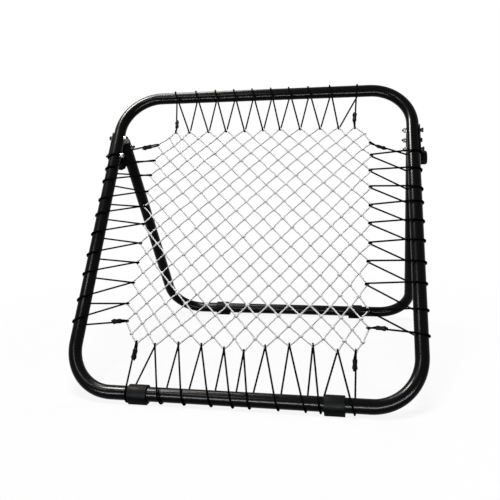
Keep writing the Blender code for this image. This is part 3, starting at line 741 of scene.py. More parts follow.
def foot_skin(s, layout):
    """The foot's wall carried round its tube, from one side of the split to the other.

    At each angle the wall is a box from the tube's skin to the outline, its corners rounded,
    and it shrinks by c (1 - sin f) as it nears the split, to close each end."""
    inner = layout.radius + GAP
    edge, c = FOOT_SPLIT / 2 / (layout.radius + FOOT_WALL / 2), FOOT_CLOSING
    f = np.linspace(0, pi / 2, 4)
    shrink = c * (1 - np.sin(f))
    run = c * (1 - np.cos(f)) / layout.radius
    start = FOOT_SPLIT_ANGLE + edge
    end = FOOT_SPLIT_ANGLE - edge + 2 * pi
    middle = np.linspace(start + run[-1], end - run[-1], 126)[1:-1]
    angle = np.concatenate([[start], start + run, middle, end - run[::-1], [end]])
    inset = np.concatenate([[c], shrink, np.zeros(len(middle)), shrink[::-1], [c]])
    outer = sleeve_reach(layout, angle)
    turn = np.concatenate([arc((0, 0), 1, k * pi / 2, (k + 1) * pi / 2, 4) for k in range(4)])
    turn = np.concatenate([turn, turn[:1]])
    side = np.sign(np.repeat([[1, 1], [-1, 1], [-1, -1], [1, -1]], 5, axis=0))
    side = np.concatenate([side, side[:1]])
    half, e = (outer - inner)[:, None] / 2 - inset[:, None], FOOT_ROUNDING
    r = (outer + inner)[:, None] / 2 + side[:, 0] * (half - e) + turn[:, 0] * e
    long = s.foot_length / 2 - inset[:, None]
    x = side[:, 1] * (long - e) + turn[:, 1] * e
    for row in (0, -1):
        r[row] = (outer[row] + inner) / 2
        x[row] = 0
    a = angle[:, None]
    return np.stack(np.broadcast_arrays(x, r * np.cos(a), r * np.sin(a)), -1)


def plug_skin(layout):
    """A plug lathed from its cap, domed by d (r / R)^2, down to its stem."""
    r, stem, e = layout.radius, PLUG_STEM_RADIUS, PLUG_ROUNDING
    dome = np.linspace(0, r - e - 0.0001, 6)
    cap = np.stack([dome, PLUG_CAP - PLUG_DOME * (dome / r) ** 2], -1)
    edge = arc((r - e, PLUG_CAP - PLUG_DOME - e), e, pi / 2, 0, 4)
    under = [[r, GAP], [stem, GAP], [stem, 0.0004 - PLUG_DEPTH]]
    under += [[stem - 0.0004, -PLUG_DEPTH], [0, -PLUG_DEPTH]]
    return lathed(np.concatenate([cap, edge, under]), TUBE_SIDES)


class REBOUNDER_OT_make_feet(bpy.types.Operator):
    """Forms the four split feet that clip round the tubes"""

    bl_idname = "rebounder.make_feet"
    bl_label = "Feet"

    def execute(self, context):
        s, layout = plan()
        skin = foot_skin(s, layout)
        for kind, body, back in (("main", "frame", -1), ("prop", "prop", 1)):
            for where in SIDES:
                node = f"{kind}_foot_{where}"
                low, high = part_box(node)
                across = (low.x + high.x) / 2
                at = (across, back * layout.footprint / 2, layout.tube_height)
                made = (f"foot_{kind}_{where}", skin + at, "satin_black_plastic", body, node)
                add_skin(*made, finish="foot_plastic")
        return {"FINISHED"}


class REBOUNDER_OT_make_plugs(bpy.types.Operator):
    """Turns the plugs in the tops of the prop's legs"""

    bl_idname = "rebounder.make_plugs"
    bl_label = "Leg plugs"

    def execute(self, context):
        s, layout = plan()
        for where, side in SIDES.items():
            place = layout.prop @ Matrix.Translation((side * layout.side, 0, s.leg_overrun))
            skin = placed(plug_skin(layout), place)
            add_skin(f"plug_{where}", skin, "grey_plastic", "prop", f"leg_plug_{where}")
        return {"FINISHED"}


# ---------------------------------------------------------------- hinges

# The plate's outline: its top over the upper bolt, its front corner ahead of the tube's middle,
# and the radii round its low end, the pivot and the slot
PLATE_TOP_RISE = 0.018
PLATE_CORNER = 0.003
PLATE_CORNER_AHEAD = 0.007
PLATE_END_RADIUS = 0.009
PLATE_PIVOT_RADIUS = 0.016
PLATE_SLOT_RADIUS = 0.011
PLATE_ROUNDING = 0.0005


def wrapped_outline(circles, steps=48):
    """The tight outline round circles (x, y, radius): their points' convex hull.

    A point stays where the run over it keeps turning the same way."""
    points = np.concatenate([arc((x, y), r, 0, 2 * pi, steps)[:-1] for x, y, r in circles])
    points = sorted(map(tuple, points))
    halves = []
    for ordered in (points, points[::-1]):
        hull = []
        for p in ordered:
            while len(hull) > 1:
                (ax, ay), (bx, by) = hull[-2:]
                if (bx - ax) * (p[1] - ay) - (by - ay) * (p[0] - ax) > 1e-10:
                    break
                hull.pop()
            hull.append(p)
        halves += hull[:-1]
    return np.array(halves)


def lock_place(s, angle):
    """Back and up of the lock stud with the prop opened by an angle."""
    return (s.pivot_back + s.lock_radius * sin(angle), s.pivot_up - s.lock_radius * cos(angle))


def plate_outlines(s, layout):
    """The plate's edge, three bolt holes and the lock stud's curved slot."""
    hole, pivot = THREAD_RADIUS + GAP, (s.pivot_back, s.pivot_up)
    top = layout.upper_bolt + PLATE_TOP_RISE - PLATE_CORNER
    rounds = [(-PLATE_CORNER_AHEAD, top, PLATE_CORNER)]
    rounds += [(0, layout.lower_bolt, PLATE_END_RADIUS), (*pivot, PLATE_PIVOT_RADIUS)]
    rounds += [(*lock_place(s, a), PLATE_SLOT_RADIUS) for a in np.linspace(0, s.opening, 13)]
    start, end = -pi / 2, s.opening - pi / 2
    slot = [
        arc(pivot, s.lock_radius + hole, start, end, 24)[:-1],
        arc(lock_place(s, s.opening), hole, end, end + pi, 14)[:-1],
        arc(pivot, s.lock_radius - hole, end, start, 22)[:-1],
        arc(lock_place(s, 0), hole, start + pi, start + 2 * pi, 14)[:-1],
    ]
    holes = [(0, layout.upper_bolt), (0, layout.lower_bolt), pivot]
    return [
        wrapped_outline(rounds),
        *(arc(at, hole, 0, 2 * pi, 28)[:-1] for at in holes),
        np.concatenate(slot),
    ]


def flat_plate(name, outlines, thickness):
    """A flat outline with its holes, filled, thickened and rounded along every edge."""
    curve = bpy.data.curves.new(name, "CURVE")
    for points in outlines:
        spline = curve.splines.new("POLY")
        spline.points.add(len(points) - 1)
        flat = np.zeros((len(points), 4), np.float32)
        flat[:, :2] = points
        flat[:, 3] = 1
        spline.points.foreach_set("co", flat.ravel())
        spline.use_cyclic_u = True
    curve.dimensions = "2D"
    curve.fill_mode = "BOTH"
    curve.extrude = thickness / 2 - PLATE_ROUNDING
    curve.bevel_depth = PLATE_ROUNDING
    curve.bevel_resolution = 2
    curve.offset = -PLATE_ROUNDING
    maker = in_scene(name, curve)
    graph = bpy.context.evaluated_depsgraph_get()
    graph.update()
    mesh = bpy.data.meshes.new_from_object(maker.evaluated_get(graph))
    bpy.data.objects.remove(maker, do_unlink=True)
    bpy.data.curves.remove(curve)
    mesh.name = name
    return mesh


class REBOUNDER_OT_make_hinge_plates(bpy.types.Operator):
    """Cuts the two hinge plates with their curved slots"""

    bl_idname = "rebounder.make_hinge_plates"
    bl_label = "Hinge plates"

    def execute(self, context):
        s, layout = plan()
        upright = Matrix(((0, 0, 1, 0), (1, 0, 0, 0), (0, 1, 0, 0), (0, 0, 0, 1)))
        across = layout.side + (layout.plate_inner + layout.plate_outer) / 2
        outlines = plate_outlines(s, layout)
        for where, side in SIDES.items():
            mesh = flat_plate(f"plate_{where}", outlines, s.plate_thickness)
            mesh.transform(layout.main @ Matrix.Translation((side * across, 0, 0)) @ upright)
            tidy(mesh, 35)
            add_piece(mesh, "black_plate_paint", "frame", f"hinge_plate_{where}")
        return {"FINISHED"}


# ---------------------------------------------------------------- bolts, nuts, washers

HEX_SIDES = 60


def hexagonal(rows):
    """Gives `lathed` a hexagon in some rows, with the cone of a chamfered corner.

    A row is 0 where it stays round, 1 where it is a plain hexagon, and 2 or 3 where that is
    chamfered at its top or bottom. Round the turn the radius is half the flats over cos of the
    angle from the nearest flat, and where that passes the chamfer's circle the face falls back
    by tan 30 degrees of the overrun."""
    rows = np.array(rows)

    def radius_at(r, z, a):
        flat = (a + pi / 6) % (pi / 3) - pi / 6
        hexagon = HEX_FLATS / 2 / np.cos(flat)
        kind = rows[:, None]
        over = np.maximum(hexagon - CHAMFER_RADIUS, 0) * tan(radians(30))
        r = np.where(kind != 0, hexagon, r)
        z = np.where(kind == 2, z - over, np.where(kind == 3, z + over, z))
        return r, z

    return radius_at


def threaded(low, high, depth):
    """Rows of a screw thread from a height up to another, as (radius, height)."""
    z = np.arange(low, high, THREAD_PITCH / 6)
    return np.stack([np.full(len(z), THREAD_RADIUS - depth), z], -1)


def thread_wave(r, z, a, low, high, depth):
    """Radius plus depth times a triangle wave of z / pitch - a / turn, faded at both ends."""
    phase = z / THREAD_PITCH - a / (2 * pi)
    wave = np.abs((phase % 1) * 2 - 1) * 2 - 1
    fade = np.clip((z - low) / THREAD_PITCH, 0, 1) * np.clip((high - z) / THREAD_PITCH, 0, 1)
    return r + depth * wave * fade


def bolt_skin(layout):
    """A bolt lathed from its head's crown to its tip, hexagonal in the head's rows."""
    seat = layout.plate_outer + GAP
    under = seat + SHOULDER_LENGTH
    top = under + HEAD_HEIGHT
    reach = -(layout.radius + GAP + WASHER_THICKNESS + GAP + NUT_HEIGHT + BOLT_TIP)
    thread_top = -layout.radius
    crown, neck, shaft = CHAMFER_RADIUS, SHOULDER_RADIUS, THREAD_RADIUS
    # The crown is dished by 0.2 mm inside its rim
    head = [(0, top - 0.0002), (crown * 0.8, top - 0.0002), (crown * 0.86, top), (crown, top)]
    head += [(crown, top), (crown, under + 0.0003), (crown, under)]
    shank = [(neck + 0.0006, under), (neck, under - 0.0005), (neck, seat + 0.0002)]
    shank += [(shaft, seat), (shaft, thread_top)]
    thread = threaded(reach + 0.0010, thread_top - 0.0001, BOLT_THREAD_DEPTH)[::-1]
    tip = [(shaft - 0.0006, reach + 0.0005), (shaft - 0.0012, reach), (0, reach)]
    profile = np.concatenate([head, shank, thread, tip])
    kinds = np.zeros(len(profile), int)
    kinds[4 : len(head)] = (2, 1, 1)
    shape_head = hexagonal(kinds)
    threads = np.zeros(len(profile), bool)
    threads[len(head) + len(shank) : -len(tip)] = True

    def radius_at(r, z, a):
        cut = thread_wave(r, z, a, reach, thread_top, BOLT_THREAD_DEPTH)
        return shape_head(np.where(threads[:, None], cut, r), z, a)

    return lathed(profile, HEX_SIDES, radius_at)


def nut_skin():
    """A nut lathed as a closed loop, chamfered on both faces, its bore countersunk."""
    half, bore, crown, c = NUT_HEIGHT / 2, THREAD_RADIUS + GAP, CHAMFER_RADIUS, 0.0004
    profile = [(bore, half - c), (bore + c, half), (crown, half), (crown, half)]
    profile += [(crown, -half), (crown, -half), (bore + c, -half), (bore, c - half)]
    profile.append(profile[0])
    return lathed(np.array(profile), HEX_SIDES, hexagonal([0, 0, 0, 2, 3, 0, 0, 0, 0]))


def washer_skin():
    """A flat ring lathed as a closed loop, its edges eased."""
    half, bore, out, c = WASHER_THICKNESS / 2, THREAD_RADIUS + GAP, WASHER_RADIUS, 0.0002
    profile = [(bore, c - half), (bore, half - c), (bore + c, half), (out - c, half)]
    profile += [(out, half - c), (out, c - half), (out - c, -half), (bore + c, -half)]
    profile.append(profile[0])
    return lathed(np.array(profile), 48)


class REBOUNDER_OT_make_fasteners(bpy.types.Operator):
    """Turns the bolts, washers and nuts of both hinges"""

    bl_idname = "rebounder.make_fasteners"
    bl_label = "Bolts, washers and nuts"

    def execute(self, context):
        s, layout = plan()
        places = {
            "upper": (0, layout.upper_bolt, 12),
            "lower": (0, layout.lower_bolt, 47),
            "pivot": (s.pivot_back, s.pivot_up, 29),
        }
        washer_at = -(layout.radius + GAP + WASHER_THICKNESS / 2)
        nut_at = -(layout.radius + 2 * GAP + WASHER_THICKNESS + NUT_HEIGHT / 2)
        for where, side in SIDES.items():
            for name, (back, up, turned_by) in places.items():
                angle = radians(turned_by + 8 * side)
                place = outward(layout, layout.main, side, back, up)
                place = place @ Matrix.Rotation(angle, 4, "Z")
                nut_place = place @ Matrix.Rotation(angle * 2, 4, "Z")
                shapes = (
                    ("bolt", bolt_skin(layout), place, "black_oxide_steel"),
                    ("nut", nut_skin() + (0, 0, nut_at), nut_place, "zinc_plated_steel"),
                    ("washer", washer_skin() + (0, 0, washer_at), place, "zinc_plated_steel"),
                )
                for kind, skin, at, slot in shapes:
                    node = f"{name}_{kind}_{where}"
                    add_skin(f"{kind}_{name}_{where}", placed(skin, at), slot, "frame", node, 30)
        return {"FINISHED"}


# ---------------------------------------------------------------- lock knobs

# How far the knob's grip stands off its seat, and its height from there
KNOB_NECK = 0.004
KNOB_HEIGHT = 0.0215
KNOB_NECK_RADIUS = 0.0100
KNOB_TOP_ROUNDING = 0.0075
KNOB_LOW_ROUNDING = 0.0016
KNOB_BORE_DEPTH = 0.0163
LOBE_DEPTH = 0.0011
# The lobes start at this radius and are whole this much further out
LOBES_FROM = 0.0145
LOBES_OVER = 0.0045
STUD_IN_LEG = 0.015
STUD_IN_KNOB = 0.016


def knob_skin(s, layout):
    """A knob lathed from its crown to its stud's bore, with lobes r + d |cos n a|^0.75.

    The lobes take the sign of cos n a, and fade towards the crown's dished middle."""
    seat = layout.plate_outer + GAP
    low, high = seat + KNOB_NECK, seat + KNOB_NECK + KNOB_HEIGHT
    big, edge, small = s.knob_radius - LOBE_DEPTH, KNOB_TOP_ROUNDING, KNOB_LOW_ROUNDING
    crown = [(0, high - 0.0020), (0.0042, high - 0.0020), (0.0054, high - 0.0012)]
    crown += [(0.0062, high - 0.0016), (0.0068, high - 0.0017), (0.0100, high - 0.0011)]
    crown += [(0.0132, high - 0.0003)]
    grip_top = arc((big - edge, high - edge), edge, pi / 2, 0, 6)
    grip_low = arc((big - small, low + small), small, 0, -pi / 2, 4)
    neck, bore, bottom = KNOB_NECK_RADIUS, THREAD_RADIUS + GAP, seat + KNOB_BORE_DEPTH
    under = [(neck + 0.0035, low), (neck + 0.0006, low), (neck, low - 0.0006)]
    under += [(neck, seat + 0.0005), (neck - 0.0005, seat), (bore, seat)]
    under += [(bore, bottom), (0, bottom)]
    profile = np.concatenate([crown, grip_top, grip_low, under])
    lobed = np.clip((profile[:, 0] - LOBES_FROM) / LOBES_OVER, 0, 1)
    lobed[-len(under) :] = 0

    def radius_at(r, z, a):
        wave = np.cos(s.knob_lobes * a)
        return r + LOBE_DEPTH * lobed[:, None] * np.sign(wave) * np.abs(wave) ** 0.75, z

    return lathed(profile, 16 * s.knob_lobes, radius_at)


def stud_skin(layout):
    """The lock stud: a threaded rod from inside the knob to inside the leg."""
    low = layout.radius - GAP - STUD_IN_LEG
    high = layout.plate_outer + GAP + STUD_IN_KNOB
    foot = [(0, low), (THREAD_RADIUS - 0.001, low)]
    head = [(THREAD_RADIUS - 0.0006, high), (0, high)]
    rows = threaded(low + 0.0008, high - 0.0004, STUD_THREAD_DEPTH)
    profile = np.concatenate([foot, rows, head])
    inner = np.zeros(len(profile), bool)
    inner[2:-2] = True

    def radius_at(r, z, a):
        cut = thread_wave(r, z, a, low, high, STUD_THREAD_DEPTH)
        return np.where(inner[:, None], cut, r), z

    return lathed(profile, 32, radius_at)


class REBOUNDER_OT_make_locks(bpy.types.Operator):
    """Moulds the lock knobs and cuts their studs"""

    bl_idname = "rebounder.make_locks"
    bl_label = "Lock knobs"

    def execute(self, context):
        s, layout = plan()
        for where, side in SIDES.items():
            place = outward(layout, layout.prop, side, 0, -s.lock_radius)
            place = place @ Matrix.Rotation(radians(10), 4, "Z")
            shapes = (
                ("lock_grip", knob_skin(s, layout), 35, "satin_black_plastic", "lock_knob"),
                ("lock_stud", stud_skin(layout), 30, "zinc_plated_steel", "knob_stud"),
            )
            for name, skin, sharp, slot, node in shapes:
                skin, body, node = placed(skin, place), f"knob_{where}", f"{node}_{where}"
                add_skin(f"{name}_{where}", skin, slot, body, node, sharp)
        return {"FINISHED"}


# ---------------------------------------------------------------- net

# From the frame's middle to an even tip, and the net's width in half meshes
NET_REACH = 0.350
NET_CELLS = 24
# A knot's half sizes across, back and up, how much these vary and how lumpy it is, as shares,
# and how far it strays
KNOT_AXES = (0.0062, 0.0042, 0.0055)
KNOT_VARIES = 0.06
KNOT_LUMP = 0.13
KNOT_STRAY = 0.0007
# A knot at a tip holds fewer strands, and is this share of the others' size
TIP_KNOT_SHARE = (0.62, 0.58, 0.80)
# Strands start this far out from their knots' middles, bow and drop in between, and swell by a
# share of their thickness
STRAND_START = 0.0009
STRAND_BOW = (0.0005, 0.0006, 0.0005)
STRAND_DROP = 0.0004
STRAND_SWELL = 0.05
STRAND_SIDES = 8


def side_point(name, along, out, back):
    """A side's along, out and back as across, back and up from the frame's middle."""
    along, out, back = np.broadcast_arrays(along, out, back)
    ways = {
        "top": (along, back, out),
        "bottom": (along, back, -out),
        "right": (out, back, along),
        "left": (-out, back, along),
    }
    return np.stack(ways[name], -1)


def in_frame(s, layout, points):
    """Points about the frame's middle set in the leaning frame."""
    return placed(points + (0, 0, s.frame_height / 2), layout.main)


class NetShape:
    """Knots and strands of a square-mesh net hung on its corners.

    Knots (u, v) with u + v even stand on a lattice. The tips and the four corners are held where
    the photograph shows them, and every other knot hangs in the mean of its neighbours, which is
    one set of linear equations."""

    def __init__(self, s):
        last = NET_CELLS
        knots = np.argwhere(np.indices((last + 1, last + 1)).sum(0) % 2 == 0)
        number = {tuple(k): i for i, k in enumerate(knots)}
        rising = knots[knots[:, 0] < last]
        links = []
        for step in (1, -1):
            ends = rising + (1, step)
            inside = (ends[:, 1] >= 0) & (ends[:, 1] <= last)
            a, b = rising[inside], ends[inside]
            # A strand is there if one of the two meshes beside it is whole
            one = np.stack([a[:, 0] + 1, a[:, 1]], -1)
            two = np.stack([a[:, 0], b[:, 1]], -1)
            whole = [((m > 0) & (m < last)).all(1) for m in (one, two)]
            there = whole[0] | whole[1]
            links.append(np.stack([a[there], b[there]], 1))
        links = np.concatenate(links)
        self.links = np.array([[number[tuple(p)] for p in link] for link in links])
        used = np.unique(self.links)
        renumber = np.full(len(knots), -1)
        renumber[used] = np.arange(len(used))
        self.knots = knots[used]
        self.links = renumber[self.links]
        self.places = self.settle(s)

    def held(self):
        """Places of the tips and corners, in metres from the frame's middle."""
        fixed = {k: np.array((p[0], 0, p[1])) / 1000 for k, p in CORNER_PLACES.items()}
        steps = range(2, NET_CELLS, 2)
        rims = {
            "top": [(n, NET_CELLS) for n in steps],
            "bottom": [(n, 0) for n in steps],
            "left": [(0, NET_CELLS - n) for n in steps],
            "right": [(NET_CELLS, NET_CELLS - n) for n in steps],
        }
        for name, rim in rims.items():
            spots = side_point(name, np.array(TIP_PLACES[name]), np.array(TIP_REACHES[name]), 0)
            fixed.update(zip(rim, spots / 1000))
        return fixed

    def settle(self, s):
        """Each knot's place: held, or where (its neighbours' sum) - n (its own) is nought."""
        fixed = self.held()
        count = len(self.knots)
        pull = np.zeros((count, count))
        pull[self.links[:, 0], self.links[:, 1]] = 1
        pull[self.links[:, 1], self.links[:, 0]] = 1
        system = np.diag(pull.sum(1)) - pull
        target = np.zeros((count, 3))
        free = np.ones(count)
        for i, knot in enumerate(map(tuple, self.knots)):
            if knot in fixed:
                system[i] = 0
                system[i, i] = 1
                target[i] = fixed[knot]
                free[i] = 0
        places = np.linalg.solve(system, target)
        chance = np.random.default_rng(7)
        jitter = chance.normal(0, KNOT_STRAY, (count, 3)) * free[:, None]
        reach = places / NET_REACH
        sag = (1 - np.clip(reach[:, 0] ** 2, 0, 1)) * (1 - np.clip(reach[:, 2] ** 2, 0, 1))
        places[:, 1] += s.net_sag * sag * free
        return places + jitter

    def strand_grid(self, s):
        """Each strand from knot to knot, bowed by b 4 t (1 - t) back and down."""
        a, b = (self.places[self.links[:, n]] for n in (0, 1))
        way = unit(b - a)
        a, b = a + way * STRAND_START, b - way * STRAND_START
        t = np.array([0, 0, 0.2, 0.4, 0.6, 0.8, 1, 1])[:, None]
        chance = np.random.default_rng(11)
        bow = chance.normal(0, 1, (len(a), 1, 3)) * STRAND_BOW
        bow[..., 2] -= STRAND_DROP
        path = a[:, None] + (b - a)[:, None] * t + bow * (4 * t * (1 - t))
        swell = 1 + STRAND_SWELL * np.sin(2 * pi * (t[:, 0] * 3 + chance.random((len(a), 1))))
        radius = s.twine_diameter / 2 * swell
        radius[:, 0] = radius[:, -1] = 0
        way = np.broadcast_to(way[:, None], path.shape)
        skin = swept(path, radius, STRAND_SIDES, (0, 1, 0), way)
        uv = skin_map(path, STRAND_SIDES)
        uv[..., 1] += chance.random((len(a), 1, 1))
        return skin, uv

    def knot_grid(self, tips):
        """Each knot as a lumpy ball: axes times (sin f cos a, cos f, sin f sin a) times
        1 + lumps cos(3 a + phase) sin^2 f."""
        count = len(self.places)
        chance = np.random.default_rng(23)
        f = np.linspace(0, pi, 9)[:, None]
        a = np.linspace(0, 2 * pi, 11)
        phase = chance.random((count, 1, 1)) * 2 * pi
        lump = 1 + KNOT_LUMP * np.cos(3 * a + phase) * np.sin(f) ** 2
        ball = (np.sin(f) * np.cos(a), np.cos(f), np.sin(f) * np.sin(a))
        ball = np.stack(np.broadcast_arrays(*ball), -1)
        axes = KNOT_AXES * (1 + chance.normal(0, KNOT_VARIES, (count, 1, 1, 3)))
        axes[tips] *= TIP_KNOT_SHARE
        skin = ball * lump[..., None] * axes + self.places[:, None, None]
        # Where u is a sixth the twine's plies show their crowns, so a knot shows no grooves and
        # none of the shade painted into them
        uv = np.stack(np.broadcast_arrays(a * 0 + 1 / 6, f * 0), -1)
        return skin, np.broadcast_to(uv, skin.shape[:-1] + (2,))


class REBOUNDER_OT_make_net(bpy.types.Operator):
    """Knots the white net and hangs it from its tips"""

    bl_idname = "rebounder.make_net"
    bl_label = "Net"

    def execute(self, context):
        s, layout = plan()
        net = NetShape(s)
        rim = ((net.knots == 0) | (net.knots == NET_CELLS)).any(1)
        grids = []
        for skin, uv in (net.strand_grid(s), net.knot_grid(rim)):
            grids.append((in_frame(s, layout, skin), uv))
        add_piece(new_mesh("net_twine", grids, 80), "white_twine", "frame", "net")
        return {"FINISHED"}


# ---------------------------------------------------------------- lacing

CORD_SIDES = 10
# Radius of the cord's turn round a net tip, how far it sinks into the tip, and its slant there
TIP_TURN = 0.0049
TIP_NEST = 0.0016
TIP_SLANT = 0.0010
TUBE_CLEARANCE = 0.0001
TURN_CLEARANCE = 0.001
FOOT_CLEARANCE = 0.0012
# Points of a turn round a tip and round the tube, and those over which the latter falls from a
# foot to the tube
TIP_POINTS = 11
TURN_POINTS = 25
FALL_POINTS = 14
# How far round its own run each doubled end is laid, away from straight behind it
TAIL_TURN = radians(50)
TAIL_PAST_SLEEVE = 0.004
TAIL_BULGE = 0.35
SLEEVE_START = 0.020
SLEEVE_LENGTH = 0.026
SLEEVE_WALL = 0.0012
SLEEVE_LIP = 0.0005
# Rows along a sleeve and points round it, the depths of its two creases and of its pinches, and
# its swelling over the cord's end: how far, where along it and how wide
SLEEVE_ROWS = 15
SLEEVE_SIDES = 40
SLEEVE_CREASES = (0.00012, 0.00010)
SLEEVE_PINCH = 0.0003
SWELLING = 0.0009
SWELLING_AT = 0.0085
SWELLING_WIDTH = 0.0035
STRAND_GAP = 0.0005
EVEN_STEP = 0.0016


def taken_stretches(name, s, layout):
    """Where along a side its tube carries a foot or a hinge plate, from low to high."""
    if name == "bottom":
        boxes = [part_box(f"main_foot_{where}") for where in SIDES]
        return [(low.x, high.x) for low, high in boxes]
    if name in ("left", "right"):
        middle = s.frame_height / 2
        low = layout.lower_bolt - PLATE_END_RADIUS - middle
        return [(low, layout.upper_bolt + PLATE_TOP_RISE - middle)]
    return []


class LacedSide:
    """One cord's way along its side of the frame: along it, out from the middle, and back."""

    def __init__(self, name, s, layout):
        level = name in ("top", "bottom")
        self.name = name
        self.cord = s.cord_diameter / 2
        self.tube_out = (s.frame_height if level else s.frame_width) / 2
        self.tips = np.array(TIP_PLACES[name]) / 1000
        self.reaches = np.array(TIP_REACHES[name]) / 1000 - TIP_NEST
        self.order = 1 if level else -1
        # The outer tips would stand 10 of 12 half meshes from the middle
        even = self.order * np.linspace(-1, 1, len(self.tips)) * NET_REACH * 10 / 12
        spacing = abs(even[1] - even[0])
        self.turns = (even[:-1] + even[1:]) / 2 + spacing * np.array(TURN_SHIFTS[name])
        self.taken = taken_stretches(name, s, layout)
        for low, high in self.taken:
            low -= self.cord + TURN_CLEARANCE
            high += self.cord + TURN_CLEARANCE
            inside = (self.turns > low) & (self.turns < high)
            nearest = np.where(self.turns - low < high - self.turns, low, high)
            self.turns = np.where(inside, nearest, self.turns)
        self.first = -1 if FRONT_FIRST[name] else 1
        self.skin = layout.radius + self.cord + TUBE_CLEARANCE
        self.over_foot = layout.radius + FOOT_WALL + self.cord + FOOT_CLEARANCE

    def point(self, along, out, back):
        return side_point(self.name, along, out, back)

    def slope(self, number):
        """Angle between a leg and the plane of the frame: sin b = (R - r) / D."""
        return asin((self.skin - TIP_TURN) / (self.tube_out - self.reaches[number]))

    def tip_turn(self, number):
        """Half a turn round the net's tip, from one face of the net to the other."""
        lean = self.slope(number)
        a = self.first * np.linspace(-pi / 2 - lean, pi / 2 + lean - 2 * pi, TIP_POINTS)
        out = self.reaches[number] + TIP_TURN * np.cos(a)
        back = TIP_TURN * np.sin(a)
        along = self.tips[number] + self.order * TIP_SLANT * np.linspace(-1, 1, TIP_POINTS)
        return along, out, back

    def crosses_foot(self, place, tip):
        """Whether the run between a turn's place and a net tip passes over a foot."""
        low, high = sorted((place, tip))
        return self.name == "bottom" and any(low < b and a < high for a, b in self.taken)

    def tube_turn(self, number):
        """From the net over the tube and back: two straight legs and an arc round the tube.

        The leg and half turn in front slant evenly from their tip to the outermost point. The
        ones behind stay at the turn's place and run straight to their own tip. Where a leg
        passes over a foot, the arc starts that much wider and falls to the skin over its first
        FALL_POINTS points, by its height over the skin times 1 - t t (3 - 2 t)."""
        leaving, coming = self.slope(number), self.slope(number + 1)
        a = np.linspace(pi / 2 + leaving, -pi / 2 - coming, TURN_POINTS) * self.first
        place = self.turns[number]
        reach = np.full(TURN_POINTS, self.skin)
        for tip, step in ((number, 1), (number + 1, -1)):
            if self.crosses_foot(place, self.tips[tip]):
                t = np.clip(np.arange(TURN_POINTS)[::step] / FALL_POINTS, 0, 1)
                height = (self.over_foot - self.skin) * (1 - t * t * (3 - 2 * t))
                reach = np.maximum(reach, self.skin + height)
        out = self.tube_out + reach * np.cos(a)
        back = reach * np.sin(a)
        front = number if self.first < 0 else number + 1
        tip, reach = self.tips[front], self.reaches[front]
        edge = self.tube_out + self.skin
        slant = tip + (place - tip) * (out - reach) / (edge - reach)
        along = np.where(back < 0, slant, place)
        return along, out, back

    def doubled_end(self, number, face):
        """The cord's end laid back beside its own run from the tip, and its sleeve's place."""
        last = number > 0
        turn = self.tube_turn(number - 1 if last else 0)
        to = self.point(*(part[-1 if last else 0] for part in turn))
        lean = self.slope(number)
        a = face * np.linspace(3 * pi / 2 - lean, pi / 2 + lean, TIP_POINTS)
        out = self.reaches[number] + TIP_TURN * np.cos(a)
        bend = self.point(self.tips[number], out, TIP_TURN * np.sin(a))
        run = unit(to - bend[-1])
        across = unit(np.array((0, face, 0.0)) - run * face * run[1])
        across = across * cos(TAIL_TURN) + np.cross(run, across) * sin(TAIL_TURN)
        apart = 2 * self.cord + STRAND_GAP
        mouth = bend[-1] + run * SLEEVE_START
        beside = mouth - across * apart
        tail = beside + run * (SLEEVE_LENGTH + TAIL_PAST_SLEEVE)
        laid = tail + (beside - tail) * np.linspace(0, 1, 9)[:, None]
        cross = beside + (bend[0] - beside) * np.linspace(0, 1, 7)[1:-1, None]
        axes = np.eye(4)
        axes[:3, 0], axes[:3, 1], axes[:3, 2] = across, np.cross(run, across), run
        axes[:3, 3] = mouth - across * apart / 2 + run * SLEEVE_LENGTH / 2
        return np.concatenate([laid, cross, bend]), axes

    def route(self):
        """The whole cord from tail to tail, evened out, with both sleeves' places."""
        first, first_sleeve = self.doubled_end(0, self.first)
        last, last_sleeve = self.doubled_end(len(self.tips) - 1, -self.first)
        pieces = [first]
        for i in range(len(self.turns)):
            if i:
                pieces.append(self.point(*self.tip_turn(i)))
            pieces.append(self.point(*self.tube_turn(i)))
        pieces.append(last[::-1])
        return evened(np.concatenate(pieces)), (first_sleeve, last_sleeve)


def evened(path):
    """Points at even distances along a path, each then moved twice to the mean of 1, 2, 1
    shares of itself and its neighbours."""
    run = lengths(path)
    keep = np.concatenate([[True], np.diff(run) > 1e-6])
    path, run = path[keep], run[keep]
    even = np.linspace(0, run[-1], int(run[-1] / EVEN_STEP))
    path = np.stack([np.interp(even, run, path[:, n]) for n in range(3)], -1)
    for _ in range(2):
        path[1:-1] = (path[:-2] + 2 * path[1:-1] + path[2:]) / 4
    return path


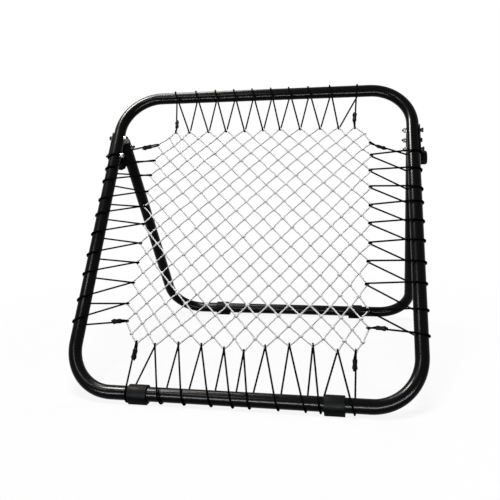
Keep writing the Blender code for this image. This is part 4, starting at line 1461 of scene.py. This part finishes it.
def sleeve_skin(s):
    """A ring with a stadium section round two cords, lathed as a closed loop along the run.

    The half width (r cos a + h sign cos a, r sin a) is carried through outer, lip and inner
    rows. The outer ones have creases of c sin(3 a + 520 z) and d sin(5 a - 830 z + 1), are
    pinched by p cos(3 pi z / length), and swell by w exp(-((z - at) / width)^2)."""
    half = s.cord_diameter / 2 + STRAND_GAP / 2
    inner = s.cord_diameter / 2 + 0.0002
    wall, lip = SLEEVE_WALL, SLEEVE_LIP
    z = np.linspace(-0.5, 0.5, SLEEVE_ROWS) * (SLEEVE_LENGTH - 2 * lip)
    outer = np.stack([np.full(SLEEVE_ROWS, inner + wall), z], -1)
    ends = SLEEVE_LENGTH / 2 - lip
    top = arc((inner + wall - lip, ends), lip, 0, pi, 6)[1:]
    low = arc((inner + wall - lip, -ends), lip, pi, 2 * pi, 6)
    profile = np.concatenate([outer, top, low])
    a = np.linspace(0, 2 * pi, SLEEVE_SIDES + 1)
    r, z = profile[:, :1], profile[:, 1:]
    c, d = SLEEVE_CREASES
    crease = c * np.sin(3 * a + z * 520) + d * np.sin(5 * a - z * 830 + 1)
    pinch = SLEEVE_PINCH * np.cos(z / SLEEVE_LENGTH * 2 * pi * 1.5)
    swell = SWELLING * np.exp(-(((z - SWELLING_AT) / SWELLING_WIDTH) ** 2))
    r = r + (r > inner + wall * 0.8) * (crease - pinch + swell)
    x = r * np.cos(a) + half * np.clip(np.cos(a) * 6, -1, 1)
    skin = np.stack(np.broadcast_arrays(x, r * np.sin(a), z), -1)
    uv = np.stack(np.broadcast_arrays(a / (2 * pi), z), -1)
    return skin, uv


class REBOUNDER_OT_make_lacing(bpy.types.Operator):
    """Laces the four elastic cords round the tubes and through the net"""

    bl_idname = "rebounder.make_lacing"
    bl_label = "Lacing and sleeves"

    def execute(self, context):
        s, layout = plan()
        sleeve, sleeve_uv = sleeve_skin(s)
        for name in TURN_SHIFTS:
            laced = LacedSide(name, s, layout)
            path, holders = laced.route()
            path, radii = rounded_ends(path, laced.cord, TAIL_BULGE)
            along = (1, 0, 0) if name in ("top", "bottom") else (0, 0, 1)
            skin = swept(path, radii, CORD_SIDES, along)
            grid = (in_frame(s, layout, skin), skin_map(path, CORD_SIDES))
            add_skin(f"cord_{name}", grid, "black_elastic", "frame", f"lacing_{name}", 80)
            for end, axes in zip(("start", "end"), holders):
                grid = (in_frame(s, layout, placed(sleeve, axes)), sleeve_uv)
                node = f"end_sleeve_{name}_{end}"
                add_skin(f"sleeve_{name}_{end}", grid, "black_sleeve", "frame", node, 50)
        return {"FINISHED"}


# ---------------------------------------------------------------- what stays, and the stage


class REBOUNDER_OT_finish_kept_parts(bpy.types.Operator):
    """Gives the rivet nuts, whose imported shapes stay, their plated finish"""

    bl_idname = "rebounder.finish_kept_parts"
    bl_label = "Rivet nuts"

    def execute(self, context):
        for where in SIDES:
            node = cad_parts[f"rivet_nut_{where}"]
            node.data.materials.clear()
            node.data.materials.append(finish_called("zinc_plated_steel"))
        return {"FINISHED"}


# The floor in metres: flat this far out, then rising to its height as the backdrop
FLOOR_HALF = 12
FLOOR_FLAT = 5
FLOOR_RISE_OVER = 6
FLOOR_HEIGHT = 8
FLOOR_BELOW = 0.0002

MIDDLE = (0, 0, 0.45)
UPRIGHT, SLANT = (0, 0, 1), (0.168, 0.590, 0.790)
WHITE, WARM, COOL = (1, 1, 1), (1.0, 0.96, 0.90), (0.86, 0.94, 1.0)
# Each soft box: its place, what it looks at, width, height and power in watts, colour, and what
# its height runs along. Keys light the object, and the others show in its gloss alone.
LAMPS = {
    "key": ((0.0, -2.1, 5.5), MIDDLE, 2.0, 1.0, 305, WHITE, UPRIGHT),
    "key_behind": ((0.9, 2.2, 2.4), MIDDLE, 1.2, 1.0, 26, WHITE, UPRIGHT),
    "card_over": ((-0.9, 0.6, 2.6), MIDDLE, 1.2, 0.5, 110, WARM, UPRIGHT),
    "card_front": ((0.1, -1.25, 0.08), (0, 0, 0.35), 2.0, 0.10, 110, COOL, UPRIGHT),
    "card_low": ((-0.9, -1.9, 1.9), MIDDLE, 0.9, 0.12, 45, WARM, UPRIGHT),
    "strip_high": ((-1.61, -0.52, 2.92), (0.48, -0.10, 0.70), 0.7, 0.6, 620, WARM, SLANT),
}
# Light that the world gives the object, of the 1 that it shows
WORLD_FILL = 0.06

# The photograph's camera as measured: turns in degrees, and the focal length and the optical
# centre in pixels of a frame 500 wide and high
CAMERA_PLACE = (0.3895, -2.0482, 0.67601)
CAMERA_TURNS = (11.19439, -1.53487, -1.25175)
FRAME_PIXELS = 500
FOCAL_LENGTH = 626.52
OPTICAL_CENTRE = (259.005, 167.777)
SENSOR_WIDTH = 36


def floor_skin():
    """A level square that rises by h q^2 past its flat middle, q from 0 to 1."""
    t = np.linspace(-1, 1, 49) * FLOOR_HALF
    x, y = np.meshgrid(t, t, indexing="ij")
    rise = np.clip((np.hypot(x, y) - FLOOR_FLAT) / FLOOR_RISE_OVER, 0, 1)
    return np.stack([x, y, FLOOR_HEIGHT * rise**2 - FLOOR_BELOW], -1)


def floor_paper(shade, bounce):
    """White paper that keeps the shadow near the object and fades to plain white.

    The share of plain white is 0.90 + 0.10 smoothstep(0.6 m, 1.8 m, distance from the middle).
    Soft light that it sends back to the object comes from a darker shade."""
    f = Finish("floor_paper", shade)
    shown = f.backdrop_rays()
    away = f.add("ShaderNodeVectorMath", {"operation": "LENGTH"}, {0: f.place()}, 1)
    share = f.span(away, 0.6, 1.8, 0.90, 1.0)
    f.done(Base_Color=f.mix(shown, bounce, shade), Roughness=0.9, Specular_IOR_Level=0.0)
    white = f.add("ShaderNodeEmission", None, {"Color": WHITE, "Strength": 1.0})
    lit = Value(f, f.shader.outputs[0])
    mixed = f.add("ShaderNodeMixShader", None, {0: shown * share, 1: lit, 2: white})
    f.feed(f.tree.nodes["Material Output"].inputs["Surface"], mixed)
    return f.material


def make_world():
    """White behind the object and in its gloss, and a soft fill on it."""
    world = bpy.data.worlds.new("studio")
    bpy.context.scene.world = world
    world.use_nodes = True
    nodes = Nodes(world.node_tree)
    sky = nodes.tree.nodes["Background"]
    sockets = {"Factor": nodes.backdrop_rays(), "A": WORLD_FILL, "B": 1.0}
    nodes.feed(sky.inputs["Color"], WHITE)
    nodes.feed(sky.inputs["Strength"], nodes.add("ShaderNodeMix", None, sockets))


def add_lamp(name, place, target, wide, tall, power, shade, along):
    """A soft box that looks at a point and can't be seen itself."""
    light = bpy.data.lights.new(name, "AREA")
    light.shape = "RECTANGLE"
    light.size, light.size_y = wide, tall
    light.energy = power
    light.color = shade
    lamp = in_scene(name, light)
    back = (Vector(place) - Vector(target)).normalized()
    right = Vector(along).cross(back).normalized()
    turn = Matrix((right, back.cross(right), back)).transposed().to_4x4()
    lamp.matrix_world = Matrix.Translation(place) @ turn
    lamp.visible_camera = False
    lamp.visible_diffuse = name.startswith("key")
    lamp.visible_glossy = not lamp.visible_diffuse


def add_camera():
    """The photograph's view, turned by its yaw, pitch and roll, and shifted off centre."""
    yaw, pitch, roll = map(radians, CAMERA_TURNS)
    ahead = Vector((-sin(yaw) * cos(pitch), cos(yaw) * cos(pitch), sin(pitch)))
    level = Vector((cos(yaw), sin(yaw), 0))
    above = level.cross(ahead)
    right = cos(roll) * level + sin(roll) * above
    up = cos(roll) * above - sin(roll) * level
    data = bpy.data.cameras.new("camera")
    data.sensor_width = SENSOR_WIDTH
    data.lens = SENSOR_WIDTH * FOCAL_LENGTH / FRAME_PIXELS
    data.shift_x = (FRAME_PIXELS / 2 - OPTICAL_CENTRE[0]) / FRAME_PIXELS
    data.shift_y = (OPTICAL_CENTRE[1] - FRAME_PIXELS / 2) / FRAME_PIXELS
    camera = in_scene("camera", data)
    turn = Matrix((right, up, -ahead)).transposed().to_4x4()
    camera.matrix_world = Matrix.Translation(CAMERA_PLACE) @ turn
    bpy.context.scene.camera = camera


class REBOUNDER_OT_make_stage(bpy.types.Operator):
    """Sets the floor, the light and the camera"""

    bl_idname = "rebounder.make_stage"
    bl_label = "Stage"

    def execute(self, context):
        mesh = new_mesh("floor", [floor_skin()], 40)
        shade = tuple(colours().floor)
        mesh.materials.append(floor_paper(shade, darker(shade, 0.90)))
        in_scene("floor", mesh)
        make_world()
        for name, lamp in LAMPS.items():
            add_lamp(name, *lamp)
        add_camera()
        context.scene.view_settings.view_transform = "Standard"
        return {"FINISHED"}


class REBOUNDER_PT_panel(bpy.types.Panel):
    """Steps that build the rebounder, in order"""

    bl_idname = "REBOUNDER_PT_panel"
    bl_label = "Soccer rebounder"
    bl_space_type = "VIEW_3D"
    bl_region_type = "UI"
    bl_category = "Rebounder"

    def draw(self, context):
        for step in STEPS:
            self.layout.operator(step.bl_idname)
        for group in (sizes(), colours()):
            for name in group.__annotations__:
                self.layout.prop(group, name)


STEPS = (
    REBOUNDER_OT_make_tubes,
    REBOUNDER_OT_make_feet,
    REBOUNDER_OT_make_plugs,
    REBOUNDER_OT_make_hinge_plates,
    REBOUNDER_OT_make_fasteners,
    REBOUNDER_OT_make_locks,
    REBOUNDER_OT_make_net,
    REBOUNDER_OT_make_lacing,
    REBOUNDER_OT_finish_kept_parts,
    REBOUNDER_OT_make_stage,
)
CLASSES = (RebounderSizes, RebounderColours, *STEPS, REBOUNDER_PT_panel)


def register():
    for cls in CLASSES:
        bpy.utils.register_class(cls)
    bpy.types.Scene.rebounder_sizes = PointerProperty(type=RebounderSizes)
    bpy.types.Scene.rebounder_colours = PointerProperty(type=RebounderColours)


def unregister():
    del bpy.types.Scene.rebounder_colours
    del bpy.types.Scene.rebounder_sizes
    for cls in reversed(CLASSES):
        bpy.utils.unregister_class(cls)


def main():
    register()
    for step in STEPS:
        group, name = step.bl_idname.split(".")
        getattr(getattr(bpy.ops, group), name)()


if __name__ == "__main__":
    main()
